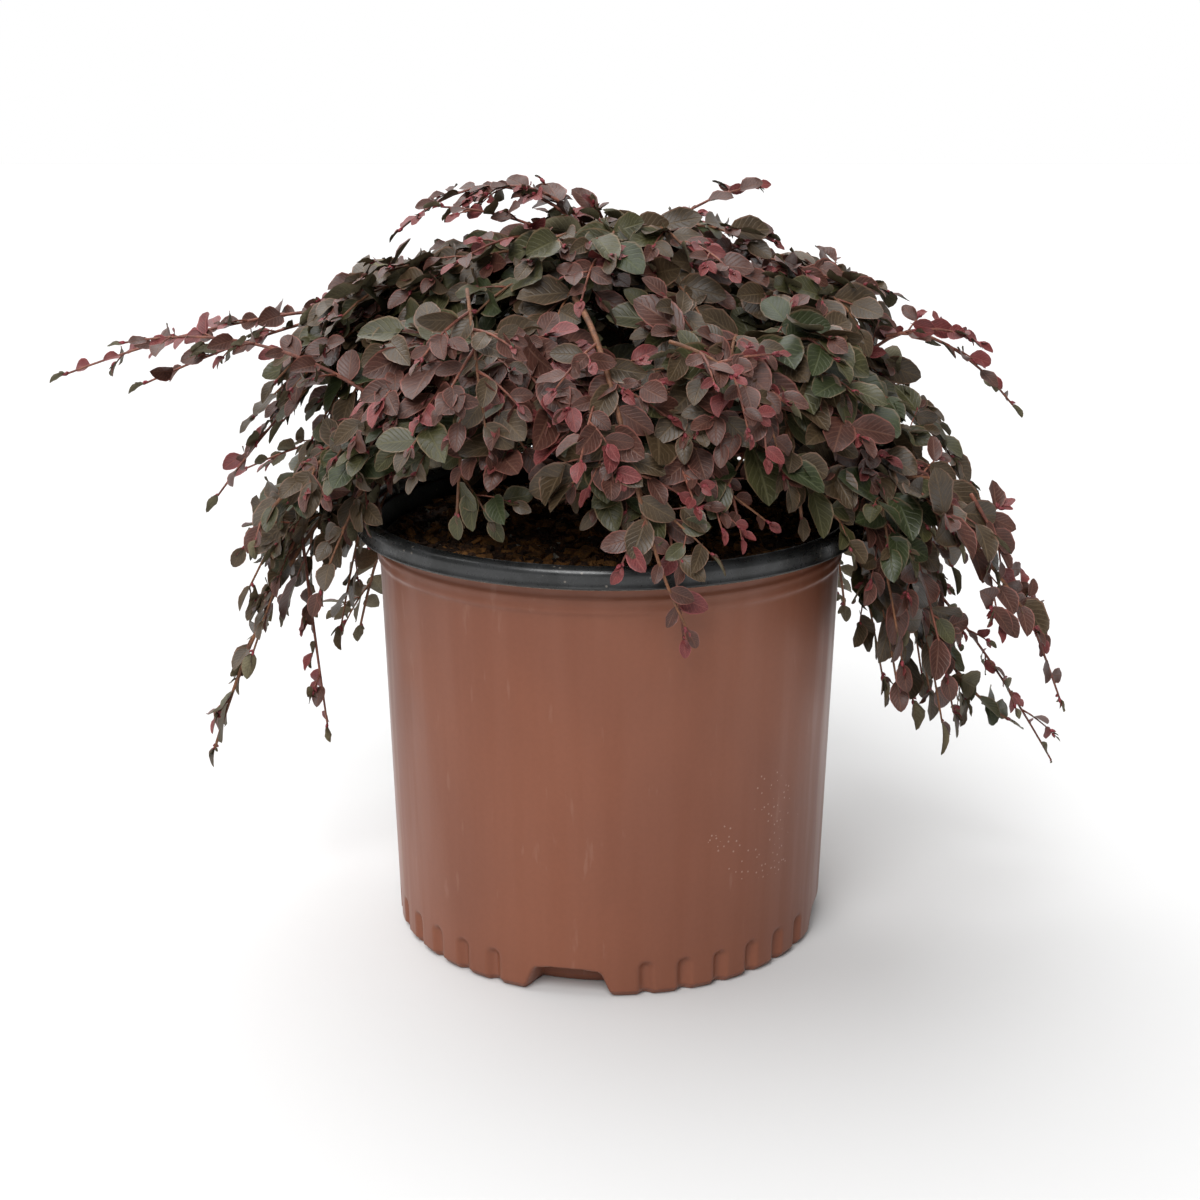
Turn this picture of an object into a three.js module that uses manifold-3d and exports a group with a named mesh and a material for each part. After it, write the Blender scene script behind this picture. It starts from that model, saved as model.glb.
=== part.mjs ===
// A weeping, purple-leaved Chinese fringe flower in a brown nursery pot with a black rolled rim.
// Millimetres, +Z up, front towards -Y. The origin is the middle of the pot's flat underside.
import * as THREE from "three";
import { mergeVertices } from "three/addons/utils/BufferGeometryUtils.js";
import Module from "manifold-3d";

const wasm = await Module();
wasm.setup();

// Driving sizes of the pot and its soil
const POT = {
  height: 241,
  rimRadius: 140,
  rimDepth: 11,
  neckRadius: 131,
  shoulderRadius: 127.4,
  footRadius: 120.2,
  wall: 1.8,
  floor: 2.4,
  footBand: 28,
  quarters: 4,
  notchAzimuth: -101,
  notchWidth: 46,
  notchTopWidth: 35,
  notchHeight: 15,
  notchInset: 17,
  flutesPerQuarter: 6,
  fluteFirst: 20,
  fluteStep: 10,
  fluteRadius: 5,
  fluteInset: 3,
  fluteTop: 21,
  facets: 48,
};
const SOIL = { level: 226, underside: 4, clearance: 0.4, bump: 2.2, ringRadius: 22 };
const GAP = 0.3;
const SHORTEST_EDGE = 0.12;

// Driving sizes of the plant
const TRUNK = {
  x: 6,
  y: 2,
  height: 36,
  flareRadius: 10.5,
  radius: 6.6,
  tipRadius: 5.4,
  lean: 3,
  sides: 16,
  steps: 5,
};
const CROWN_CENTRE = new THREE.Vector3(5, 0, 235);
const USUAL = { bare: 0.36, twigs: 7, stemSteps: 6, twigSteps: 2, twigLength: 60, droop: 0.28 };
const STEM = { baseRadius: 1.9, tipRadius: 0.95, sides: 4 };
const TWIG = { baseRadius: 1.25, tipRadius: 0.85, sides: 3 };
const LEAF = {
  length: 41,
  width: 27,
  thickness: 1.3,
  heel: 0.2,
  sunk: 0.35,
  roll: 1.3,
  forward: 0.62,
  rise: 0.32,
  shrinks: [1, 0.8, 0.62],
};
const MASS_CLEARANCE = 2.6;
const LIMB_CLEARANCE = 1.4;
const POT_KEEP_OUT = { radius: 144, height: 246 };

// One row for each limb. It leaves its parent at the share "fork" of the parent's path (the trunk's
// by height above the soil), heading for the azimuth "from", and ends at the azimuth "to", with its
// furthest reach from the trunk's axis, the height of its brow and the height of its tip. The bough
// is its inner part, up to the share "bare", and the mass of foliage grows on the rest.
const LIMBS = [
  { name: "front", fork: 16, from: -96, to: -86, reach: 144, brow: 380, tip: 256, twigs: 9 },
  { name: "front_right", fork: 26, from: -46, to: -24, reach: 240, brow: 346, tip: 186 },
  { name: "right", fork: 16, from: -4, to: 10, reach: 246, brow: 350, tip: 92 },
  { name: "back_right", fork: 26, from: 40, to: 50, reach: 232, brow: 346, tip: 128 },
  { name: "back", fork: 16, from: 84, to: 92, reach: 228, brow: 346, tip: 140 },
  { name: "back_left", fork: 26, from: 128, to: 136, reach: 232, brow: 346, tip: 120 },
  { name: "left", fork: 16, from: 172, to: 180, reach: 234, brow: 346, tip: 92 },
  { name: "front_left", fork: 26, from: -146, to: -160, reach: 220, brow: 350, tip: 216 },
  { name: "leader", fork: 36, from: 70, to: 100, reach: 14, brow: 366, tip: 366, bare: 0.34,
    twigs: 8, twigLength: 54 },
];

// The second storey: each limb leaves a lower one at a share of its length.
const UPPER_LIMBS = [
  { name: "mid_front_right", parent: "front_right", fork: 0.2, from: -60, to: -54,
    reach: 150, brow: 390, tip: 262, twigs: 9 },
  { name: "mid_right", parent: "right", fork: 0.22, from: -14, to: -14,
    reach: 162, brow: 394, tip: 290 },
  { name: "mid_back_right", parent: "back_right", fork: 0.22, from: 30, to: 28,
    reach: 160, brow: 390, tip: 284 },
  { name: "mid_back", parent: "back", fork: 0.22, from: 78, to: 72,
    reach: 158, brow: 390, tip: 280 },
  { name: "mid_back_left", parent: "back_left", fork: 0.22, from: 122, to: 116,
    reach: 160, brow: 390, tip: 280 },
  { name: "mid_left", parent: "left", fork: 0.22, from: 164, to: 162,
    reach: 164, brow: 390, tip: 292 },
  { name: "mid_front_left", parent: "front_left", fork: 0.2, from: -132, to: -123,
    reach: 150, brow: 390, tip: 264, twigs: 9 },
];

// Long, thinly leaved shoots that stand out of a mass, each from one of the buds of its stem.
const SHOOTS = [
  { limb: "mid_left", bud: 6, azimuth: 180, reach: 294, height: 312, brow: 352, steps: 5 },
  { limb: "front_left", bud: 3, azimuth: -168, reach: 262, height: 320, brow: 348, steps: 4 },
  { limb: "leader", bud: 11, azimuth: -12, reach: 78, height: 416, brow: 404, steps: 2 },
  { limb: "leader", bud: 9, azimuth: 186, reach: 96, height: 408, brow: 402, steps: 2 },
  { limb: "mid_right", bud: 7, azimuth: -4, reach: 224, height: 291, brow: 352, steps: 3 },
  { limb: "front_right", bud: 7, azimuth: -14, reach: 262, height: 160, brow: 232, steps: 3 },
  { limb: "left", bud: 6, azimuth: 187, reach: 172, height: 98, brow: 170, steps: 3 },
  { limb: "back_left", bud: 6, azimuth: 158, reach: 240, height: 240, brow: 262, steps: 2 },
  { limb: "front", bud: 4, azimuth: -79, reach: 154, height: 208, brow: 330, steps: 4 },
];

// The sprays that arch out of the leader's upper buds, evenly round it.
const SPRAYS = { count: 8, firstBud: 3, firstAzimuth: -103, reach: 92, height: 364, brow: 408, steps: 3 };
for (let n = 0; n < SPRAYS.count; n++)
  SHOOTS.push({
    limb: "leader",
    bud: SPRAYS.firstBud + n,
    azimuth: SPRAYS.firstAzimuth + (n * 3 * 360) / SPRAYS.count,
    reach: SPRAYS.reach + 9 * (n % 2),
    height: SPRAYS.height + 14 * (n % 2),
    brow: SPRAYS.brow,
    steps: SPRAYS.steps,
    size: 0.95,
  });

const COLOURS = {
  pot: { color: 0x8a5548, roughness: 0.45, metalness: 0 },
  rim: { color: 0x24282a, roughness: 0.4, metalness: 0 },
  soil: { color: 0x2e2118, roughness: 1, metalness: 0 },
  bark: { color: 0x6d4530, roughness: 0.85, metalness: 0 },
  leaves: { color: 0x54404a, roughness: 0.6, metalness: 0 },
};

// A seeded generator, so that the plant grows the same way each time.
function seeded(seed) {
  let state = seed >>> 0;
  return () => {
    state = (state + 0x6d2b79f5) >>> 0;
    let mixed = Math.imul(state ^ (state >>> 15), state | 1);
    mixed = (mixed + Math.imul(mixed ^ (mixed >>> 7), mixed | 61)) ^ mixed;
    return ((mixed ^ (mixed >>> 14)) >>> 0) / 4294967296;
  };
}

const SIDEWAYS = new THREE.Vector3(0, 1, 0);
const radians = THREE.MathUtils.degToRad;
const lerp = THREE.MathUtils.lerp;

// The point at an azimuth and a reach from the trunk's axis, at a height.
function polar(azimuth, reach, height) {
  const turn = radians(azimuth);
  return new THREE.Vector3(TRUNK.x + reach * Math.cos(turn), TRUNK.y + reach * Math.sin(turn), height);
}

function outwards(point) {
  return point.clone().sub(CROWN_CENTRE).normalize();
}

function facingOut(point) {
  return outwards(point).addScaledVector(new THREE.Vector3(0, 0, 1), 0.55).normalize();
}

function toSolid(geometry) {
  const bare = geometry.clone();
  bare.deleteAttribute("normal");
  bare.deleteAttribute("uv");
  const merged = mergeVertices(bare, 1e-4);
  const vertProperties = new Float32Array(merged.attributes.position.array);
  const triVerts = new Uint32Array(merged.index.array);
  const mesh = new wasm.Mesh({ numProp: 3, vertProperties, triVerts });
  return new wasm.Manifold(mesh);
}

function toGeometry(solid) {
  const mesh = solid.getMesh();
  const geometry = new THREE.BufferGeometry();
  geometry.setAttribute("position", new THREE.BufferAttribute(mesh.vertProperties, 3));
  geometry.setIndex(new THREE.BufferAttribute(mesh.triVerts, 1));
  geometry.computeVertexNormals();
  return geometry;
}

function largestPiece(solid) {
  return solid.decompose().reduce((best, piece) => (piece.volume() > best.volume() ? piece : best));
}

// A limb's direction at a share of its path, with its side and the edge it turns towards "above".
function frameAt(path, share, above) {
  const ahead = path.getTangent(share);
  const side = new THREE.Vector3().crossVectors(above, ahead).normalize();
  const up = new THREE.Vector3().crossVectors(ahead, side).normalize();
  return { ahead, side, up };
}

// A tapering limb: a closed cylinder whose rings are set along a path.
function limbGeometry(path, radiusAt, sides, steps, above, from = 0, to = 1) {
  const turned = sides === 4 ? Math.PI / 4 : 0;
  const geometry = new THREE.CylinderGeometry(1, 1, 1, sides, steps, false, turned);
  const places = geometry.attributes.position;
  for (let i = 0; i < places.count; i++) {
    const share = 0.5 - places.getY(i);
    const t = lerp(from, to, share);
    const { side, up } = frameAt(path, t, above);
    const radius = radiusAt(share);
    const point = path.getPoint(t);
    point.addScaledVector(side, places.getX(i) * radius);
    point.addScaledVector(up, places.getZ(i) * radius);
    places.setXYZ(i, point.x, point.y, point.z);
  }
  return geometry;
}

function tapered(baseRadius, tipRadius, extra = 0) {
  return (share) => lerp(baseRadius, tipRadius, share) + extra;
}

// The pot: a blow-moulded wall and floor, with flutes and notches round the foot.
function wallRadius(height) {
  return lerp(POT.footRadius, POT.shoulderRadius, height / (POT.height - 27));
}

function potOutline() {
  const top = POT.height - POT.rimDepth;
  return [
    [0, 0],
    [POT.footRadius - 2.4, 0],
    [wallRadius(3), 3],
    [POT.shoulderRadius, top - 17],
    [POT.shoulderRadius + 1.3, top - 15],
    [POT.shoulderRadius + 1.6, top - 9],
    [POT.shoulderRadius + 0.4, top - 7],
    [POT.shoulderRadius + 0.9, top - 3],
    [POT.neckRadius, top],
    [POT.neckRadius, top + 5],
  ];
}

function cavityOutline() {
  const top = POT.height - POT.rimDepth;
  const inner = POT.footBand;
  return [
    [0, POT.floor],
    [POT.footRadius - 6, POT.floor],
    [wallRadius(inner) - 6, inner - 4],
    [wallRadius(inner) - POT.wall, inner],
    [POT.shoulderRadius - POT.wall, top - 17],
    [POT.shoulderRadius - POT.wall + 0.6, top - 3],
    [POT.neckRadius - POT.wall, top],
    [POT.neckRadius - POT.wall, top + 6],
    [0, top + 6],
  ];
}

function lathe(outline, segments) {
  const points = outline.map(([radius, height]) => new THREE.Vector2(radius, height));
  const geometry = new THREE.LatheGeometry(points, segments);
  return geometry.rotateX(Math.PI / 2);
}

function closedLathe(outline, segments) {
  const last = outline[outline.length - 1];
  const closed = last[0] === 0 ? outline : [...outline, [0, last[1]]];
  const solid = toSolid(lathe(closed, segments));
  if (solid.volume() > 0) return solid;
  const turned = [...closed].reverse();
  return toSolid(lathe(turned, segments));
}

// A drain notch's block: a low trapezium with rounded upper corners, run inwards through the wall.
function notchBlock(azimuth, grow) {
  const foot = POT.notchWidth / 2 + grow;
  const head = POT.notchTopWidth / 2 + grow;
  const height = POT.notchHeight + grow;
  const round = 4;
  const shape = new THREE.Shape();
  shape.moveTo(-foot, -5);
  shape.lineTo(foot, -5);
  shape.lineTo(foot - 1, 2);
  shape.lineTo(head + 1, height - round);
  shape.quadraticCurveTo(head, height, head - round, height);
  shape.lineTo(round - head, height);
  shape.quadraticCurveTo(-head, height, -head - 1, height - round);
  shape.lineTo(1 - foot, 2);
  shape.closePath();
  const depth = POT.notchInset + grow + 20;
  const geometry = new THREE.ExtrudeGeometry(shape, { depth, bevelEnabled: false, curveSegments: 3 });
  geometry.rotateX(Math.PI / 2);
  geometry.translate(0, POT.footRadius + 20, 0);
  geometry.rotateZ(radians(azimuth - 90));
  return toSolid(geometry);
}

// A flute's cutter: an upright capsule that bites a little way into the wall from outside.
function fluteCutter(azimuth) {
  const length = 2 * (POT.fluteTop - POT.fluteRadius);
  const geometry = new THREE.CapsuleGeometry(POT.fluteRadius, length, 1, 6);
  const middle = POT.footRadius + POT.fluteRadius - POT.fluteInset;
  geometry.rotateX(Math.PI / 2);
  geometry.translate(middle, 0, 0);
  geometry.rotateZ(radians(azimuth));
  return toSolid(geometry);
}

function potSolid() {
  const notches = [];
  const housings = [];
  const flutes = [];
  for (let quarter = 0; quarter < POT.quarters; quarter++) {
    const azimuth = POT.notchAzimuth + (quarter * 360) / POT.quarters;
    notches.push(notchBlock(azimuth, 0));
    housings.push(notchBlock(azimuth, POT.floor));
    for (let n = 0; n < POT.flutesPerQuarter; n++)
      flutes.push(fluteCutter(azimuth + POT.fluteFirst + n * POT.fluteStep));
  }
  const body = closedLathe(potOutline(), POT.facets).subtract(wasm.Manifold.union([...notches, ...flutes]));
  const cavity = closedLathe(cavityOutline(), POT.facets).subtract(wasm.Manifold.union(housings));
  return largestPiece(body.subtract(cavity));
}

// The rolled black rim: a ring that hangs over the top of the wall, a hair's breadth clear of it.
function rimSolid() {
  const top = POT.height;
  const bottom = top - POT.rimDepth;
  const out = POT.rimRadius;
  const seat = POT.neckRadius + GAP;
  const within = POT.neckRadius - POT.wall;
  const profile = [
    [seat, bottom],
    [out, bottom],
    [out, top - 4],
    [out - 1.6, top - 0.8],
    [out - 5, top],
    [within, top - 3.4],
    [within, bottom + 5 + GAP],
    [seat, bottom + 5 + GAP],
    [seat, bottom],
  ];
  const solid = toSolid(lathe(profile, POT.facets));
  return solid.volume() > 0 ? solid : toSolid(lathe([...profile].reverse(), POT.facets));
}

// The root ball and bark mix that fill the pot, with an uneven top that is level round the trunk.
function soilGeometry() {
  const inner = POT.footBand;
  const room = POT.wall + SOIL.clearance;
  const profile = [
    [0, SOIL.underside],
    [92, SOIL.underside],
    [92, POT.notchHeight + 4],
    [wallRadius(inner) - 9, inner - 2],
    [wallRadius(inner) - room - 0.5, inner + 4],
    [POT.shoulderRadius - room - 0.5, POT.height - POT.rimDepth - 19],
    [POT.shoulderRadius - room - 0.5, SOIL.level - 4],
    [119, SOIL.level - 0.5],
    [104, SOIL.level + 0.5],
    [82, SOIL.level],
    [60, SOIL.level],
    [40, SOIL.level],
    [SOIL.ringRadius, SOIL.level],
    [0, SOIL.level],
  ];
  const geometry = lathe(profile, 24);
  const places = geometry.attributes.position;
  for (let i = 0; i < places.count; i++) {
    const [x, y, z] = [places.getX(i), places.getY(i), places.getZ(i)];
    const radius = Math.hypot(x, y);
    if (z < SOIL.level - 1 || radius <= SOIL.ringRadius + 1) continue;
    const ripple = Math.sin(x * 0.19 + 1) * Math.cos(y * 0.23 - 2) + 0.6 * Math.sin(x * 0.41 - y * 0.37);
    places.setZ(i, z + SOIL.bump * ripple * 0.6);
  }
  return geometry;
}

const trunkFoot = SOIL.level + GAP;
const trunkPath = new THREE.QuadraticBezierCurve3(
  new THREE.Vector3(TRUNK.x + TRUNK.lean, TRUNK.y, trunkFoot),
  new THREE.Vector3(TRUNK.x + TRUNK.lean, TRUNK.y, trunkFoot + TRUNK.height / 2),
  new THREE.Vector3(TRUNK.x, TRUNK.y, trunkFoot + TRUNK.height),
);

function trunkRadius(extra) {
  return (share) => {
    const flare = (TRUNK.flareRadius - TRUNK.radius) * Math.max(0, 1 - share / 0.3) ** 2;
    return lerp(TRUNK.radius, TRUNK.tipRadius, share) + flare + extra;
  };
}

// The places where a limb of straight lengths bears something: two on each length, on either side.
function budsOn(path, steps, above, from = 0) {
  return Array.from({ length: 2 * steps }, (_, n) => {
    const local = n % 2 ? 0.8 : 0.2;
    const [start, end] = [0, 1].map((k) => lerp(from, 1, (Math.floor(n / 2) + k) / steps));
    const place = path.getPoint(start).lerp(path.getPoint(end), local);
    return { place, rank: n % 2 ? 1 : -1, ...frameAt(path, lerp(start, end, local), above) };
  });
}

// Each limb's whole path, worked out from its row.
function limbPath(row, start) {
  const fromReach = Math.hypot(start.x - TRUNK.x, start.y - TRUNK.y);
  const first = polar(row.from, fromReach + 0.25 * row.reach, lerp(start.z, row.brow, 0.55));
  const second = polar(lerp(row.from, row.to, 0.7), 0.86 * row.reach, row.brow);
  const tip = polar(row.to, row.reach, row.tip);
  return new THREE.CubicBezierCurve3(start, first, second, tip);
}

// The side of a limb that faces out of the crown, halfway along it.
function aboveOf(row, path) {
  return row.name === "leader" ? SIDEWAYS : facingOut(path.getPoint(0.6));
}

function boughSizes(row) {
  if (row.parent) return { base: 2.5, tip: STEM.baseRadius };
  return { base: row.name === "leader" ? 3.6 : 3.1, tip: STEM.baseRadius + 0.2 };
}

const limbs = new Map();

function addLimb(row, start) {
  const path = limbPath(row, start);
  const limb = { ...USUAL, ...row, path, above: aboveOf(row, path), sizes: boughSizes(row), shoots: [] };
  limb.begin = limb.bare + GAP / path.getLength();
  limb.buds = budsOn(path, limb.stemSteps, limb.above, limb.begin);
  limbs.set(row.name, limb);
}

for (const row of LIMBS) addLimb(row, trunkPath.getPoint(row.fork / TRUNK.height));
for (const row of UPPER_LIMBS) addLimb(row, limbs.get(row.parent).path.getPoint(row.fork));

for (const row of SHOOTS) {
  const limb = limbs.get(row.limb);
  const start = limb.buds[row.bud].place;
  const tip = polar(row.azimuth, row.reach, row.height);
  const bend = start.clone().lerp(tip, 0.45);
  bend.z = row.brow;
  const path = new THREE.QuadraticBezierCurve3(start, bend, tip);
  limb.shoots.push({ ...row, path });
}

function boughSolid(limb, extra = 0) {
  const radius = tapered(limb.sizes.base, limb.sizes.tip, extra);
  return toSolid(limbGeometry(limb.path, radius, 6, 5, limb.above, 0, limb.bare));
}

const trunkGeometry = limbGeometry(trunkPath, trunkRadius(0), TRUNK.sides, TRUNK.steps, SIDEWAYS);
const trunkGrown = toSolid(limbGeometry(trunkPath, trunkRadius(GAP), TRUNK.sides, TRUNK.steps, SIDEWAYS));
const trunkSpace = trunkGrown.translate([0, 0, GAP]);

// A bough, cut off a hair's breadth clear of the trunk or limb that it leaves.
function boughPiece(limb) {
  const parent = limbs.get(limb.parent);
  const carrier = parent ? boughSolid(parent, GAP) : trunkSpace;
  return largestPiece(boughSolid(limb).subtract(carrier)).simplify(SHORTEST_EDGE);
}

// Points along everything that foliage has to keep clear of, and along each mass's own stems.
function along(path, from, to, spacing) {
  const count = Math.max(2, Math.ceil((path.getLength() * (to - from)) / spacing));
  return Array.from({ length: count + 1 }, (_, i) => path.getPoint(lerp(from, to, i / count)));
}

const hardPlaces = [];
for (const limb of limbs.values())
  for (const place of along(limb.path, 0, limb.bare - 0.01, 5))
    hardPlaces.push({ place, radius: limb.sizes.base });
for (const place of along(trunkPath, 0, 1, 4)) hardPlaces.push({ place, radius: TRUNK.flareRadius });

const spines = [...limbs.values()].map((limb) => ({
  name: limb.name,
  places: [
    ...along(limb.path, limb.bare, 1, 7),
    ...limb.shoots.flatMap((shoot) => along(shoot.path, 0, 1, 9)),
  ],
}));

function nearest(point, places) {
  let best = Infinity;
  for (const place of places) best = Math.min(best, point.distanceToSquared(place));
  return Math.sqrt(best);
}

// True where every point lies in the mass's own space, clear of limbs, pot, soil and floor.
function keepsToSpace(points, name) {
  const own = spines.find((spine) => spine.name === name);
  return points.every((point) => {
    const radius = Math.hypot(point.x, point.y);
    if (radius < POT_KEEP_OUT.radius && point.z < POT_KEEP_OUT.height) return false;
    const touches = hardPlaces.some(
      (hard) => point.distanceTo(hard.place) < hard.radius + LIMB_CLEARANCE,
    );
    if (touches) return false;
    const reach = nearest(point, own.places) + MASS_CLEARANCE;
    return spines.every((spine) => spine === own || nearest(point, spine.places) > reach);
  });
}

// A leaf: a flat eight-faced blade, thickest at its heel, with its root sunk in the twig it grows on.
function leafPiece(root, ahead, facing, scale) {
  const [length, width] = [LEAF.length * scale, LEAF.width * scale];
  const side = new THREE.Vector3().crossVectors(ahead, facing).normalize();
  const normal = new THREE.Vector3().crossVectors(side, ahead).normalize();
  const turn = new THREE.Matrix4().makeBasis(side, ahead, normal).setPosition(root);
  const geometry = new THREE.OctahedronGeometry(1, 0);
  const places = geometry.attributes.position;
  for (let i = 0; i < places.count; i++) {
    const [x, y, z] = [places.getX(i), places.getY(i), places.getZ(i)];
    const forward = Math.abs(z) > 0.5 ? LEAF.heel : Math.abs(x) > 0.5 ? 0.5 : (y + 1) / 2;
    places.setXYZ(i, (x * width) / 2, forward * length, (z * LEAF.thickness) / 2);
  }
  geometry.applyMatrix4(turn);
  const outline = [[0, 0.3], [0, 0.65], [0, 1], [0.5, 0.5], [-0.5, 0.5], [0.25, 0.75], [-0.25, 0.75]]
    .map(([across, along]) => new THREE.Vector3(across * width, along * length, 0).applyMatrix4(turn));
  return { geometry, outline };
}

// A leaf that leaves its bud sideways and forwards, its blade rolled a little out of the twig's plane.
function leafAt(bud, size, random) {
  const heading = bud.ahead.clone().multiplyScalar(LEAF.forward).addScaledVector(bud.side, bud.rank);
  heading.addScaledVector(bud.up, LEAF.rise).normalize();
  return rolledLeaf(bud.place, heading, bud.up, size, random);
}

// The leaf is given as a rule for any share of its full size: it is tried smaller where it is tight.
function rolledLeaf(place, heading, up, size, random) {
  const facing = up.clone().applyAxisAngle(heading, LEAF.roll * (random() - 0.5));
  const scale = size * lerp(0.85, 1.15, random());
  const root = place.clone().addScaledVector(heading, -LEAF.sunk);
  return (share) => leafPiece(root, heading, facing, scale * share);
}

function tipLeaf(path, above, size, random) {
  const { ahead, up } = frameAt(path, 1, above);
  return rolledLeaf(path.getPoint(1), ahead, up, size, random);
}

function leavesOn(path, steps, above, size, random) {
  const leaves = budsOn(path, steps, above).map((bud) => leafAt(bud, size, random));
  return [...leaves, tipLeaf(path, above, size, random)];
}

// Twigs leave an arching stem to its left and right in turn, and the upright leader all round.
function twigPath(limb, bud, n, random) {
  const shorter = lerp(1, 0.6, n / limb.twigs);
  const length = limb.twigLength * shorter * lerp(0.85, 1.15, random());
  const spread = 0.9 * (random() - 0.5);
  const turn = limb.name === "leader" ? radians(n * 137.5) : (bud.rank * Math.PI) / 2 + spread;
  const heading = bud.ahead.clone().multiplyScalar(0.55);
  heading.addScaledVector(bud.side, Math.sin(turn)).addScaledVector(bud.up, Math.cos(turn));
  heading.addScaledVector(outwards(bud.place), 0.2).normalize();
  const bend = bud.place.clone().addScaledVector(heading, length * 0.5);
  const tip = bud.place.clone().addScaledVector(heading, length);
  tip.z -= limb.droop * length;
  return new THREE.QuadraticBezierCurve3(bud.place.clone(), bend, tip);
}

function crosses(solid, others) {
  return others.some((other) => !other.intersect(solid).isEmpty());
}

function massSolid(limb, seed) {
  const random = seeded(seed);
  const radius = tapered(STEM.baseRadius, STEM.tipRadius);
  const stem = limbGeometry(
    limb.path, radius, STEM.sides, limb.stemSteps, limb.above, limb.begin, 1,
  );
  const wood = [toSolid(stem)];
  const offered = [];
  limb.buds.forEach((bud, n) => {
    if (n >= limb.twigs) {
      offered.push({ leaf: leafAt(bud, 0.9, random), own: wood[0] });
      return;
    }
    const path = twigPath(limb, bud, n, random);
    const above = facingOut(path.getPoint(0.5));
    const leaves = leavesOn(path, limb.twigSteps, above, 0.95, random);
    if (!keepsToSpace(along(path, 0.1, 1, 6), limb.name)) return;
    const own = twigPiece(path, limb.twigSteps, above);
    if (crosses(own, wood.slice(1))) return;
    wood.push(own);
    leaves.forEach((leaf) => offered.push({ leaf, own }));
  });
  offered.push({ leaf: tipLeaf(limb.path, limb.above, 0.8, random), own: wood[0] });
  for (const shoot of limb.shoots) {
    const above = facingOut(shoot.path.getPoint(0.5));
    const own = twigPiece(shoot.path, shoot.steps, above);
    wood.push(own);
    const leaves = leavesOn(shoot.path, shoot.steps, above, shoot.size ?? 0.6, random);
    leaves.forEach((leaf) => offered.push({ leaf, own }));
  }
  const blades = [];
  for (const { leaf, own } of offered) {
    const others = [...blades, ...wood.filter((piece) => piece !== own)];
    const blade = fittingBlade(leaf, others, limb.name);
    if (blade) blades.push(blade);
  }
  return largestPiece(wasm.Manifold.union([...wood, ...blades]));
}

// The largest size of a leaf that keeps to the mass's space and crosses nothing else in it.
function fittingBlade(leaf, others, name) {
  for (const share of LEAF.shrinks) {
    const { geometry, outline } = leaf(share);
    if (!keepsToSpace(outline, name)) continue;
    const blade = toSolid(geometry);
    if (!crosses(blade, others)) return blade;
  }
  return null;
}

function twigPiece(path, steps, above) {
  const radius = tapered(TWIG.baseRadius, TWIG.tipRadius);
  return toSolid(limbGeometry(path, radius, TWIG.sides, steps, above));
}

const plant = new THREE.Group();

function addPiece(name, geometry, look) {
  const mesh = new THREE.Mesh(geometry, new THREE.MeshStandardMaterial(COLOURS[look]));
  mesh.name = name;
  plant.add(mesh);
}

addPiece("pot", toGeometry(potSolid()), "pot");
addPiece("pot_rim", toGeometry(rimSolid()), "rim");
addPiece("soil", soilGeometry(), "soil");
addPiece("trunk", trunkGeometry, "bark");
let seed = 11;
for (const limb of limbs.values()) {
  addPiece(`bough_${limb.name}`, toGeometry(boughPiece(limb)), "bark");
  addPiece(`foliage_${limb.name}`, toGeometry(massSolid(limb, seed)), "leaves");
  seed += 7;
}

export default plant;
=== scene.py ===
"""A weeping, purple-leaved Chinese fringe flower in a brown nursery pot: looks, light and camera."""

import math

import bmesh
import bpy
import numpy as np
from mathutils import Euler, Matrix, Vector, noise


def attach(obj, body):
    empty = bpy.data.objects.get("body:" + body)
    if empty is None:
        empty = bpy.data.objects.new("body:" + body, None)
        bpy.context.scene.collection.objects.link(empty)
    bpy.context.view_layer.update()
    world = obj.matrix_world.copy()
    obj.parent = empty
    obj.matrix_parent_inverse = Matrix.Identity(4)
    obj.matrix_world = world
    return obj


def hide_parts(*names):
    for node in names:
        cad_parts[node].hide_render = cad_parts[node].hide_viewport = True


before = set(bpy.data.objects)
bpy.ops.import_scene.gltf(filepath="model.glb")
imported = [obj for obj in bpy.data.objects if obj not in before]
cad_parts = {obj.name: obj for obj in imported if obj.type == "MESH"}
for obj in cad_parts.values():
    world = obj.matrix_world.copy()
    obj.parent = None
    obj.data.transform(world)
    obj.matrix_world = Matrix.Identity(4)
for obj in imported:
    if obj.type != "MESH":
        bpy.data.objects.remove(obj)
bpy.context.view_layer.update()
MM = 0.001

# Sizes in millimetres and angles in degrees, as in the part's source
SHOULDER_HEIGHT = 214.0
FOOT_RADIUS = 121.2
SHOULDER_RADIUS = 127.4
NECK_RADIUS = 131.0
RIM_FOOT = 230.0
NOTCH_AZIMUTH = -101.0
NOTCH_HALF_WIDTH = 23.0
NOTCH_HEIGHT = 15.0
NOTCH_DEPTH = 17.0
NOTCH_TAPER = 6.5
FLUTES_PER_QUARTER = 6
FLUTE_FIRST = 20.0
FLUTE_STEP = 10.0
FLUTE_TOP = 21.0
FLUTE_RADIUS = 4.6
FLUTE_DEPTH = 2.9
SOIL_LEVEL = 226.0
GAP = 0.3

TRUNK_X, TRUNK_Y, TRUNK_LEAN = 6.0, 2.0, 3.0
TRUNK_HEIGHT = 36.0
TRUNK_FLARE, TRUNK_RADIUS, TRUNK_TIP = 10.5, 6.6, 5.4
BOUGH_TIP = 1.9
CROWN_CENTRE = np.array([5.0, 0.0, 235.0])
CROWN_HALF = np.array([215.0, 215.0, 175.0])
# Leaf tips keep off the pot's wall, by these radii up to a height over the rim
POT_ROOM = {"outside": 144.0, "above": 246.0, "inside": 118.0}
# The least and greatest place of a leaf's tip, within the box of the solids
REACH = np.array([[-306.0, -175.5, 4.0], [266.0, 236.5, 419.5]])

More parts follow.
